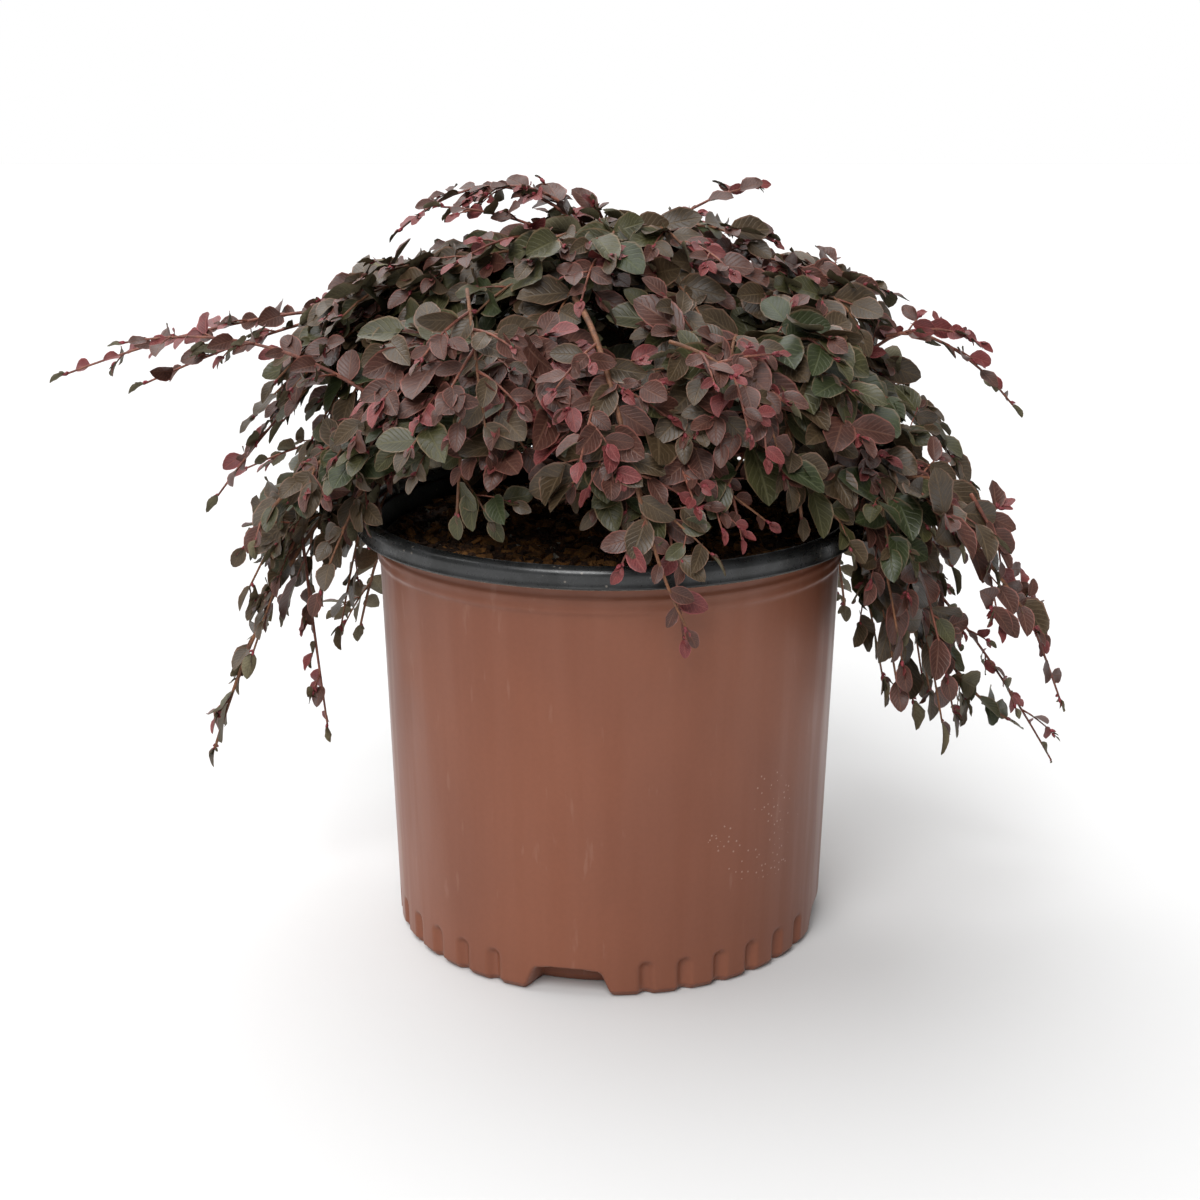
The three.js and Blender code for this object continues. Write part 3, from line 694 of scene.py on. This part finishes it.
TRUNK_FOOT = SOIL_LEVEL + GAP
TRUNK_PATH = np.array([
    (TRUNK_X + TRUNK_LEAN, TRUNK_Y, TRUNK_FOOT),
    (TRUNK_X + TRUNK_LEAN, TRUNK_Y, TRUNK_FOOT + TRUNK_HEIGHT / 2),
    (TRUNK_X, TRUNK_Y, TRUNK_FOOT + TRUNK_HEIGHT),
])


def limb_path(start, azimuths, reach, brow, tip):
    from_reach = math.hypot(start[0] - TRUNK_X, start[1] - TRUNK_Y)
    first = polar(azimuths[0], from_reach + 0.25 * reach, lerp(start[2], brow, 0.55))
    second = polar(lerp(*azimuths, 0.7), 0.86 * reach, brow)
    return np.array([start, first, second, polar(azimuths[1], reach, tip)])


def arched(start, azimuth, reach, height, brow):
    """A shoot that rises to its brow and hangs to its tip."""
    tip = polar(azimuth, reach, height)
    bend = lerp(start, tip, 0.45)
    bend[2] = brow
    return np.array([start, bend, tip])


def drooping(start, heading, length, droop):
    """A twig that sets out straight and droops by a share of its length at its tip."""
    tip = start + heading * length
    tip[2] -= droop * length
    return np.array([start, start + heading * length * 0.5, tip])


def plan_limbs():
    """Each limb's path, the stem of its mass, its buds, and where its shoots and strands go."""
    limbs = {}
    for name, parent, fork, *azimuths, reach, brow, tip, more in LIMBS:
        if parent:
            start = path_point(limbs[parent]["path"], fork)
        else:
            start = path_point(TRUNK_PATH, fork / TRUNK_HEIGHT)
        path = limb_path(start, azimuths, reach, brow, tip)
        upright = name == "leader"
        above = np.array([0.0, 1.0, 0.0]) if upright else facing_out(path_point(path, 0.6))
        limb = {**USUAL, **more, "name": name, "path": path, "above": above, "shoots": [], "strands": []}
        limb["thick"] = 2.5 if parent else (3.6 if upright else 3.1)
        limb["begin"] = limb["bare"] + GAP / path_length(path)
        limb["buds"] = buds_on(path, STEM_STEPS, above, limb["begin"])
        stem = path_tail(path, limb["begin"])
        stem[2] = lerp(stem[2], lerp(stem[0], stem[3], 0.66), limb["drawn_in"])
        stem[1] = lerp(stem[1], lerp(stem[0], stem[3], 0.33), 0.5 * limb["drawn_in"])
        stem = path_tail(stem[::-1], 1.0 - limb["ends"])[::-1]
        limb["stem"] = stem
        limb["stem_buds"] = buds_on(stem, STEM_STEPS, above)
        limbs[name] = limb
    for name, bud, *course in SHOOTS:
        limbs[name]["shoots"].append(arched(limbs[name]["buds"][bud][0], *course))
    for name, strands in STRANDS.items():
        limb = limbs[name]
        for hundredths, *course, size, age in strands:
            share = hundredths / 100
            local = (share - limb["begin"]) / (1.0 - limb["begin"])
            start = path_point(limb["stem"], local) if local > 0 else path_point(limb["path"], share)
            limb["strands"].append((arched(start, *course), size, age / 100))
    return limbs


GOLDEN_ANGLE = 137.5


def twig_path(limb, bud, n, random):
    place, rank, ahead, side, up = bud
    length = limb["twig_length"] * lerp(1.0, 0.6, n / limb["twigs"]) * lerp(0.85, 1.15, random())
    turn = 0.9 * (random() - 0.5) + rank * math.pi / 2
    if limb["name"] == "leader":
        turn = math.radians(n * GOLDEN_ANGLE)
    heading = ahead * 0.55 + side * math.sin(turn) + up * math.cos(turn) + outwards(place) * 0.2
    return drooping(place, unit(heading), length, TWIG_DROOP)


class Growth:
    """Everything that has grown: woody tubes and leaves, each with its tone."""

    def __init__(self):
        self.tubes = {"brown": [], "young": []}
        self.leaves = {tone: [] for tone in LEAF_TONES}
        self.buds = []

    def tube(self, path, base, tip, kind, steps):
        self.tubes[kind].append((path_points(path, steps), np.linspace(base, tip, steps + 1)))

    def leaf(self, age, root, heading, facing, length, width, rng):
        shape = int(rng.integers(LEAF_SHAPES))
        if has_room(root + heading * length):
            self.leaves[tone_for(age)].append((root, heading, facing, length, width, shape))


# Each tone's age limit, its blade, veins and margin, and its roughness
LEAF_TONES = {
    "moss": (0.36, (45, 52, 26), (80, 84, 54), (104, 86, 66), 0.44),
    "olive": (0.52, (59, 57, 31), (94, 90, 58), (116, 94, 70), 0.44),
    "plum": (0.72, (65, 51, 34), (102, 84, 60), (122, 90, 72), 0.44),
    "wine": (0.98, (73, 43, 35), (112, 76, 60), (136, 82, 72), 0.44),
    "crimson": (math.inf, (106, 45, 45), (144, 82, 74), (160, 82, 82), 0.48),
}
LEAF_SHAPES = 6


def has_room(point):
    """True within the crown's reach, outside the pot's wall and above the bark mix."""
    if (point < REACH[0]).any() or (point > REACH[1]).any():
        return False
    radius = math.hypot(point[0], point[1])
    if radius < POT_ROOM["outside"] and point[2] < POT_ROOM["above"]:
        return radius < POT_ROOM["inside"] and point[2] > SOIL_LEVEL + 3.0
    return True


def tone_for(age):
    return next(tone for tone, (limit, *_) in LEAF_TONES.items() if age < limit)


def turn_about(vector, axis, angle):
    """A vector turned about a unit axis."""
    cosine, sine = math.cos(angle), math.sin(angle)
    return vector * cosine + np.cross(axis, vector) * sine + axis * (axis @ vector) * (1 - cosine)


# Leaves turn towards the front, more so high up and at the sides; large ones are never the reddest
TOWARDS_LIGHT = np.array([0.0, -0.45, 0.0])
GROWN_LEAF = 16.0
GROWN_AGE = 0.9


def grow_leaf(growth, place, rank, axes, size, age, rng):
    ahead, side, up = axes
    heading = ahead * rng.uniform(0.35, 0.95) + side * rank * rng.uniform(0.7, 1.1)
    heading += up * rng.uniform(-0.1, 0.55) + np.array([0.0, 0.0, -0.22])
    heading = unit(heading)
    lean = 1.0 + smoothstep(320.0, 390.0, place[2])
    if place[1] < 70.0:
        lean += 2.0 * smoothstep(100.0, 180.0, abs(place[0]))
    away = unit(np.array([place[0] - TRUNK_X, place[1] - TRUNK_Y, 1e-3]))
    sunward = up + 0.45 * away + lean * TOWARDS_LIGHT + rng.normal(0.0, 0.48, 3)
    facing = unit(sunward - heading * (heading @ sunward))
    length = size * rng.uniform(0.7, 1.3)
    width = length * rng.uniform(0.55, 0.73)
    age += rng.normal(0, 0.07)
    if length > GROWN_LEAF:
        age = min(age, GROWN_AGE)
    growth.leaf(age, place, heading, facing, length, width, rng)


def grow_tip(growth, path, above, size, age, rng):
    """The young end of a twig: a leaf ahead, then one to three small ones, each with a bud."""
    ahead, side, up = frame_at(path, 1.0, above)
    end = path_point(path, 1.0)
    facing = turn_about(up, ahead, rng.normal(0.0, 0.5))
    growth.leaf(age + 0.1, end, ahead, facing, size * 0.8, size * 0.5, rng)
    for _ in range(int(rng.integers(1, 4))):
        heading = unit(ahead + side * rng.normal(0, 0.55) + up * rng.normal(0.15, 0.5))
        facing = unit(np.cross(np.cross(heading, up), heading))
        length = size * rng.uniform(0.25, 0.5)
        growth.leaf(age + 0.3, end, heading, facing, length, length * 0.5, rng)
        growth.buds.append((end - ahead * rng.uniform(0.0, 3.0), heading, rng.uniform(2.2, 4.2)))


def dress_twig(growth, path, above, size, spacing, age, rng, first=0.15, shrink=0.3):
    """Leaves in two ranks along a twig, smaller and younger towards its tip."""
    length = path_length(path)
    count = max(2, round(length * (1.0 - first) / spacing))
    for n in range(count):
        share = lerp(first, 0.96, (n + rng.uniform(0.2, 0.8)) / count)
        grow_leaf(
            growth, path_point(path, share), 1 if n % 2 else -1, frame_at(path, share, above),
            size * lerp(1.0, 1.0 - shrink, share), age + 0.22 * share, rng,
        )
    grow_tip(growth, path, above, size * (1.0 - shrink), age + 0.2, rng)


def side_twig(path, share, rank, above, length, rng):
    ahead, side, up = frame_at(path, share, above)
    heading = ahead * rng.uniform(0.5, 0.9) + side * rank * rng.uniform(0.6, 1.0)
    heading = unit(heading + up * rng.uniform(-0.2, 0.6))
    return drooping(path_point(path, share), heading, length, rng.uniform(0.12, 0.35))


def grow_spray(growth, path, thick, size, age, rng, side_length, side_every, spacing=12.5):
    """A twig with its finer side twigs, all in leaf."""
    above = facing_out(path_point(path, 0.5))
    kind = "young" if age > 0.55 else "brown"
    length = path_length(path)
    growth.tube(path, thick, thick * 0.5, kind, max(4, round(length / 11)))
    dress_twig(growth, path, above, size, spacing, age, rng)
    count = int(length / side_every)
    for n in range(count):
        share = lerp(0.12, 0.88, (n + rng.uniform(0.2, 0.8)) / max(1, count))
        reach = side_length * lerp(1.1, 0.6, share) * rng.uniform(0.7, 1.3)
        finer = side_twig(path, share, -1 if n % 2 else 1, above, reach, rng)
        growth.tube(finer, thick * 0.55, thick * 0.3, "young", 4)
        dress_twig(growth, finer, facing_out(finer[1]), size * 0.86, 10.2, age + 0.08, rng, 0.25)


def place_age(place):
    """Older, greener leaves inside; younger, redder ones at the crown's outside and tips."""
    depth = np.linalg.norm((place - CROWN_CENTRE) / CROWN_HALF)
    return 0.44 + 0.25 * (depth - 0.8)


STEM_SIDE_TWIGS = 6
INNER_TWIGS = 7
TWIG_THICK = 1.15
# The source draws twice for each of a main twig's five leaves
LEAF_DRAWS = 10


def grow_mass(growth, limb, seed):
    """A bough's foliage: main twigs, the stem's leaves, side twigs, shoots, strands and inner twigs."""
    draw = seeded(seed)
    rng = np.random.default_rng(seed)
    stem, above, slim = limb["stem"], limb["above"], limb["slim"]
    for n, bud in enumerate(limb["stem_buds"][:limb["twigs"]]):
        twig = twig_path(limb, bud, n, draw)
        for _ in range(LEAF_DRAWS):
            draw()
        twig = lerp(twig[0], twig, 1.0 - 0.6 * slim * n / limb["twigs"])
        age = place_age(twig[2]) + rng.normal(0, 0.2)
        grow_spray(growth, twig, TWIG_THICK, rng.uniform(27.0, 34.0), age, rng, 28.0, 18.0)
    age = place_age(stem[3]) + rng.normal(0, 0.12)
    growth.tube(stem, BOUGH_TIP, 0.8, "brown", 16)
    dress_twig(growth, stem, above, 24.0, 8.0 + 5.0 * slim, age - 0.1, rng, 0.1, 0.35)
    for n in range(STEM_SIDE_TWIGS):
        share = lerp(0.2, 0.97, (n + 0.5) / STEM_SIDE_TWIGS)
        reach = rng.uniform(24.0, 42.0) * (1.0 - slim * share)
        finer = side_twig(stem, share, 1 if n % 2 else -1, above, reach, rng)
        grow_spray(growth, finer, 0.8, 22.0, age + rng.normal(0, 0.1), rng, 20.0, 17.0)
    for shoot in limb["shoots"]:
        grow_spray(growth, shoot, TWIG_THICK, 17.0, 0.78, rng, 16.0, 26.0, 12.0)
    for strand, size, age in limb["strands"]:
        grow_spray(growth, strand, TWIG_THICK, size, age, rng, 24.0, 18.0)
    for n in range(INNER_TWIGS):
        share = lerp(0.4, 1.0, (n + rng.uniform(0, 1)) / INNER_TWIGS) * limb["bare"]
        reach = rng.uniform(32.0, 56.0)
        inner = side_twig(limb["path"], share, 1 if n % 2 else -1, above, reach, rng)
        grow_spray(growth, inner, 0.9, 28.0, 0.15, rng, 24.0, 14.0)


SHOWN_TWIGS = np.linspace(0.2, 0.7, 5)


def grow_shown_stems(growth):
    rng = np.random.default_rng(5)
    for points, thick, size, age in SHOWN_STEMS:
        path = np.array(points, float)
        above = facing_out(path_point(path, 0.5))
        growth.tube(path, thick, thick * 0.4, "brown", 16)
        dress_twig(growth, path, above, size, 12.0, age, rng, 0.2, 0.4)
        for n, share in enumerate(SHOWN_TWIGS):
            twig = side_twig(path, share, 1 if n % 2 else -1, above, 36.0 - 4.0 * n, rng)
            grow_spray(growth, twig, 0.9, size * 0.8, age + 0.12, rng, 14.0, 30.0)


# Leaves, buds and twigs as joined meshes
STATIONS = np.array([-0.14, -0.02, 0.05, 0.19, 0.37, 0.57, 0.77, 0.92])
HALF_WIDTHS = np.array([0.035, 0.045, 0.4, 0.8, 0.99, 0.97, 0.72, 0.4])
UNDERSIDE_DEPTH = 0.016
SIDE_REFERENCE = np.array([0.31, 0.22, 0.92])


def leaf_shape(seed):
    """One shape of leaf: corners, faces, sides, UVs and rim. Its length and its half width are 1."""
    rng = np.random.default_rng(seed)
    fold, curl = rng.uniform(0.15, 0.5), rng.uniform(-0.04, 0.22)
    wave, twist = rng.uniform(0.01, 0.06), rng.uniform(-0.2, 0.2)
    corners, places = [], []
    for u, half in zip(STATIONS, HALF_WIDTHS):
        for v in (-1, 0, 1):
            lift = fold * abs(v) * half * 0.34 - curl * max(0.0, u) ** 2
            lift += wave * half * abs(v) * math.sin(u * 9.0 + 2.0 * seed + 2.2 * v)
            lift += twist * v * half * u * 0.34
            corners.append((v * half, u, lift))
            places.append((max(0.0, u), 0.5 + 0.5 * v))
    corners.append((0.0, 1.0, -curl))
    places.append((1.0, 0.5))
    rows, tip = len(STATIONS), len(corners) - 1
    for row in range(1, rows):
        x, y, z = corners[3 * row + 1]
        corners.append((x, y, z - UNDERSIDE_DEPTH))
        places.append(places[3 * row + 1])
    faces, sides = [], []
    for side, step in ((0, 1), (1, -1)):
        middle = [3 * row + 1 if side == 0 or row == 0 else tip + row for row in range(rows)]
        half = []
        for left, here, there in zip(range(0, 3 * rows, 3), middle, middle[1:]):
            right = left + 2
            half += [(left, here, there), (left, there, left + 3)]
            half += [(here, right, there), (right, right + 3, there)]
        half += [(left + 3, there, tip), (there, right + 3, tip)]
        faces += [face[::step] for face in half]
        sides += [side] * len(half)
    rim = [3 * row for row in range(rows)] + [tip] + [3 * row + 2 for row in reversed(range(rows))]
    return np.array(corners), faces, np.array(sides), np.array(places), set(zip(rim, rim[1:]))


def leaf_mesh(name, leaves):
    shapes = [leaf_shape(n + 1) for n in range(LEAF_SHAPES)]
    size = len(shapes[0][0])
    corners = np.empty((len(leaves), size, 3))
    for n, (root, heading, facing, length, width, shape) in enumerate(leaves):
        side = unit(np.cross(heading, facing))
        normal = np.cross(side, heading)
        local = shapes[shape][0] * (width / 2, length, length)
        corners[n] = root + local[:, :1] * side + local[:, 1:2] * heading + local[:, 2:] * normal
    base_faces, sides, places, rim = shapes[0][1:]
    faces = [tuple(size * n + k for k in face) for n in range(len(leaves)) for face in base_faces]
    mesh = joined_mesh(name, corners.reshape(-1, 3), faces)
    mesh.polygons.foreach_set("material_index", np.tile(sides, len(leaves)).astype(np.int32))
    loops = np.empty(len(mesh.loops), np.int32)
    mesh.loops.foreach_get("vertex_index", loops)
    layer = mesh.uv_layers.new(name="leaf")
    layer.uv.foreach_set("vector", places[loops % size].astype(np.float32).ravel())
    table = np.zeros((size, size), bool)
    for first, second in rim:
        table[first, second] = table[second, first] = True
    ends = np.empty(2 * len(mesh.edges), np.int32)
    mesh.edges.foreach_get("vertices", ends)
    ends = ends.reshape(-1, 2) % size
    mesh.edges.foreach_set("use_edge_sharp", table[ends[:, 0], ends[:, 1]])
    mesh.update()
    return mesh


def ring_about(side, up, sides):
    turns = np.linspace(0, 2 * math.pi, sides, endpoint=False)[:, None]
    return np.cos(turns) * side + np.sin(turns) * up


def ring_faces(start, last, sides):
    """The faces between rings of corners that follow one another."""
    faces = []
    for ring in range(start, last, sides):
        for k in range(sides):
            a, b = ring + k, ring + (k + 1) % sides
            faces.append((a, b, b + sides, a + sides))
    return faces


def tube_mesh(name, tubes, sides):
    corners, faces, start = [], [], 0
    for points, radii in tubes:
        for point, direction, radius in zip(points, np.gradient(points, axis=0), radii):
            side = unit(np.cross(SIDE_REFERENCE, direction))
            corners.append(point + radius * ring_about(side, unit(np.cross(direction, side)), sides))
        last = start + (len(points) - 1) * sides
        faces += ring_faces(start, last, sides)
        faces.append(tuple(reversed(range(start, start + sides))))
        faces.append(tuple(range(last, last + sides)))
        start = last + sides
    return joined_mesh(name, np.concatenate(corners), faces)


BUD_REFERENCE = np.array([0.3, 0.2, 0.9])
BUD_SIDES = 5
BUD_RINGS = ((0.0, 0.25), (0.35, 0.5), (0.7, 0.36))


def bud_mesh(name, buds):
    """Small buds of three rings that end in a point."""
    corners, faces = [], []
    for root, heading, length in buds:
        start = len(corners)
        side = unit(np.cross(BUD_REFERENCE, heading))
        ring = ring_about(side, np.cross(heading, side), BUD_SIDES)
        for along, radius in BUD_RINGS:
            corners.extend(root + heading * along * length + ring * radius * length * 0.55)
        last, tip = len(corners) - BUD_SIDES, len(corners)
        corners.append(root + heading * length)
        faces.append(tuple(reversed(range(start, start + BUD_SIDES))))
        faces += ring_faces(start, last, BUD_SIDES)
        faces += [(last + k, last + (k + 1) % BUD_SIDES, tip) for k in range(BUD_SIDES)]
    return joined_mesh(name, np.array(corners), faces)


# Trunk and boughs with the bark's relief
def bark_radius(radius, azimuth, along, seed):
    place = Vector((math.cos(azimuth) * 1.6, math.sin(azimuth) * 1.6, along * 0.09 + seed * 7.3))
    ridges = noise.noise(place * 1.7) * 0.13 + noise.noise(place * 5.0) * 0.07
    node_swell = 0.1 * max(0.0, math.cos(along * 0.42 + seed)) ** 8
    return radius * (1.0 + ridges + node_swell)


def swept_limb(bm, path, radius_at, sides, spacing, seed, end=1.0):
    """A limb drawn ring by ring along its path, each ring extruded from the last."""
    length = path_length(path) * end
    steps = max(4, round(length / spacing))
    ring = bmesh.ops.create_circle(bm, cap_ends=False, segments=sides, radius=1.0)["verts"]
    edges = [edge for edge in bm.edges if edge.verts[0] in ring and edge.verts[1] in ring]
    turns = [math.atan2(vert.co.y, vert.co.x) for vert in ring]
    upright = abs(path_heading(path, 0)[2]) >= 0.9
    reference = np.array([0.0, 1.0, 0.0]) if upright else SIDE_REFERENCE
    for step in range(steps + 1):
        share = end * step / steps
        if step:
            made = bmesh.ops.extrude_edge_only(bm, edges=edges)["geom"]
            edges = [item for item in made if isinstance(item, bmesh.types.BMEdge)]
            ring = ordered_ring(edges, ring)
        ahead = path_heading(path, share)
        side = unit(np.cross(reference, ahead))
        up = unit(np.cross(ahead, side))
        middle = path_point(path, share)
        for vert, turn in zip(ring, turns):
            radius = bark_radius(radius_at(share), turn, share * length / end, seed)
            vert.co = middle + radius * (math.cos(turn) * side + math.sin(turn) * up)
        if step in (0, steps):
            bmesh.ops.contextual_create(bm, geom=ring)


def ordered_ring(edges, old_ring):
    """The new ring's corners in the order of the old ring's that they grew from."""
    fresh = {vert for edge in edges for vert in edge.verts} - set(old_ring)
    neighbours = ([edge.other_vert(vert) for edge in vert.link_edges] for vert in old_ring)
    return [next(vert for vert in near if vert in fresh) for near in neighbours]


def make_limbs(limbs):
    bm = bmesh.new()

    def trunk_radius(share):
        flare = (TRUNK_FLARE - TRUNK_RADIUS) * max(0.0, 1.0 - share / 0.3) ** 2
        return lerp(TRUNK_RADIUS, TRUNK_TIP, share) + flare

    swept_limb(bm, TRUNK_PATH, trunk_radius, 20, 1.6, 1)
    for n, limb in enumerate(limbs.values()):
        swept_limb(
            bm, limb["path"], lambda share: lerp(limb["thick"], BOUGH_TIP, share / limb["bare"]),
            12, 3.0, n + 2, limb["bare"] + 0.01,
        )
    bark = bark_finish("bark", (122, 88, 66), (92, 66, 50), 0.8)
    nodes = ["trunk", *(f"bough_{name}" for name in limbs)]
    add_piece(finished_mesh("trunk_and_boughs", bm), [bark], "bark", *nodes)


def make_foliage(limbs):
    growth = Growth()
    for n, limb in enumerate(limbs.values()):
        grow_mass(growth, limb, 11 + 7 * n)
    grow_shown_stems(growth)
    underside = leaf_finish("leaf_underside", (112, 106, 82), (134, 126, 100), (116, 92, 74), 0.6)
    nodes = [f"foliage_{name}" for name in limbs]
    for tone, (_, *finish) in LEAF_TONES.items():
        face = leaf_finish(f"leaf_{tone}", *finish)
        mesh = leaf_mesh(f"leaves_{tone}", growth.leaves[tone])
        add_piece(mesh, [face, underside], "foliage", *nodes)
        nodes = []
    brown = bark_finish("twig_brown", (130, 84, 54), (104, 68, 46), 0.7)
    young = bark_finish("twig_red", (134, 78, 58), (112, 62, 50), 0.6)
    add_piece(tube_mesh("woody_twigs", growth.tubes["brown"], 6), [brown], "bark")
    add_piece(tube_mesh("young_twigs", growth.tubes["young"], 5), [young], "bark")
    bud_red = crumb_finish("bud_red", (150, 56, 64), (124, 46, 52), 0.6)
    add_piece(bud_mesh("buds", growth.buds), [bud_red], "foliage")


# Floor, light and camera
FLOOR_REACH = 6.0
FLOOR_SHADE = (0.62, 0.62, 0.62, 1.0)
BRIGHT_SIDE = Vector((-0.05, 0.95, 0.3)).normalized()


def make_floor():
    bm = bmesh.new()
    bmesh.ops.create_grid(bm, x_segments=1, y_segments=1, size=FLOOR_REACH)
    mesh = bpy.data.meshes.new("floor")
    bm.to_mesh(mesh)
    bm.free()
    material, tree, shader = new_material("pale_floor")
    plug(tree, shader, Base_Color=FLOOR_SHADE, Roughness=0.9)
    mesh.materials.append(material)
    linked_object("floor", mesh)


def make_world():
    """A studio that is white behind the plant and dim on its other sides."""
    world = bpy.data.worlds.new("studio")
    bpy.context.scene.world = world
    world.use_nodes = True
    tree = world.node_tree
    direction = tree.nodes.new("ShaderNodeTexCoord").outputs["Generated"]
    facing = vector_math(tree, "DOT_PRODUCT", direction, BRIGHT_SIDE)
    strength = spread(tree, facing, 0.3, 0.88, 0.2, 1.0)
    plug(tree, tree.nodes["Background"], Color=(1.0, 1.0, 1.0, 1.0), Strength=strength)


# Large soft lamps: strength, width in degrees and the way that the light travels
LAMPS = {
    "key": (2.8, 36.0, (0.2, 0.74, -0.78)),
    "top": (2.7, 70.0, (0.35, -0.3, -0.8)),
}


def make_lamps():
    for name, (energy, width, direction) in LAMPS.items():
        data = bpy.data.lights.new(name, "SUN")
        data.energy = energy
        data.angle = math.radians(width)
        lamp = linked_object(name, data)
        lamp.rotation_euler = Vector(direction).to_track_quat("-Z", "Y").to_euler()


# The camera fitted to the photo's pot: its place in metres, and how far it looks down in degrees
CAMERA_PLACE = (-0.0054, -1.079, 0.5)
CAMERA_DIP = 16.3


def make_camera():
    data = bpy.data.cameras.new("camera")
    data.lens = 60.0
    data.sensor_width = 36.0
    camera = linked_object("camera", data)
    camera.location = CAMERA_PLACE
    camera.rotation_euler = (math.radians(90.0 - CAMERA_DIP), 0.0, 0.0)
    bpy.context.scene.camera = camera


make_floor()
make_world()
make_lamps()
make_camera()
make_pot()
make_rim()
make_soil()
make_chips()
LIMB_PLAN = plan_limbs()
make_limbs(LIMB_PLAN)
make_foliage(LIMB_PLAN)
bpy.context.scene.view_settings.view_transform = "Standard"
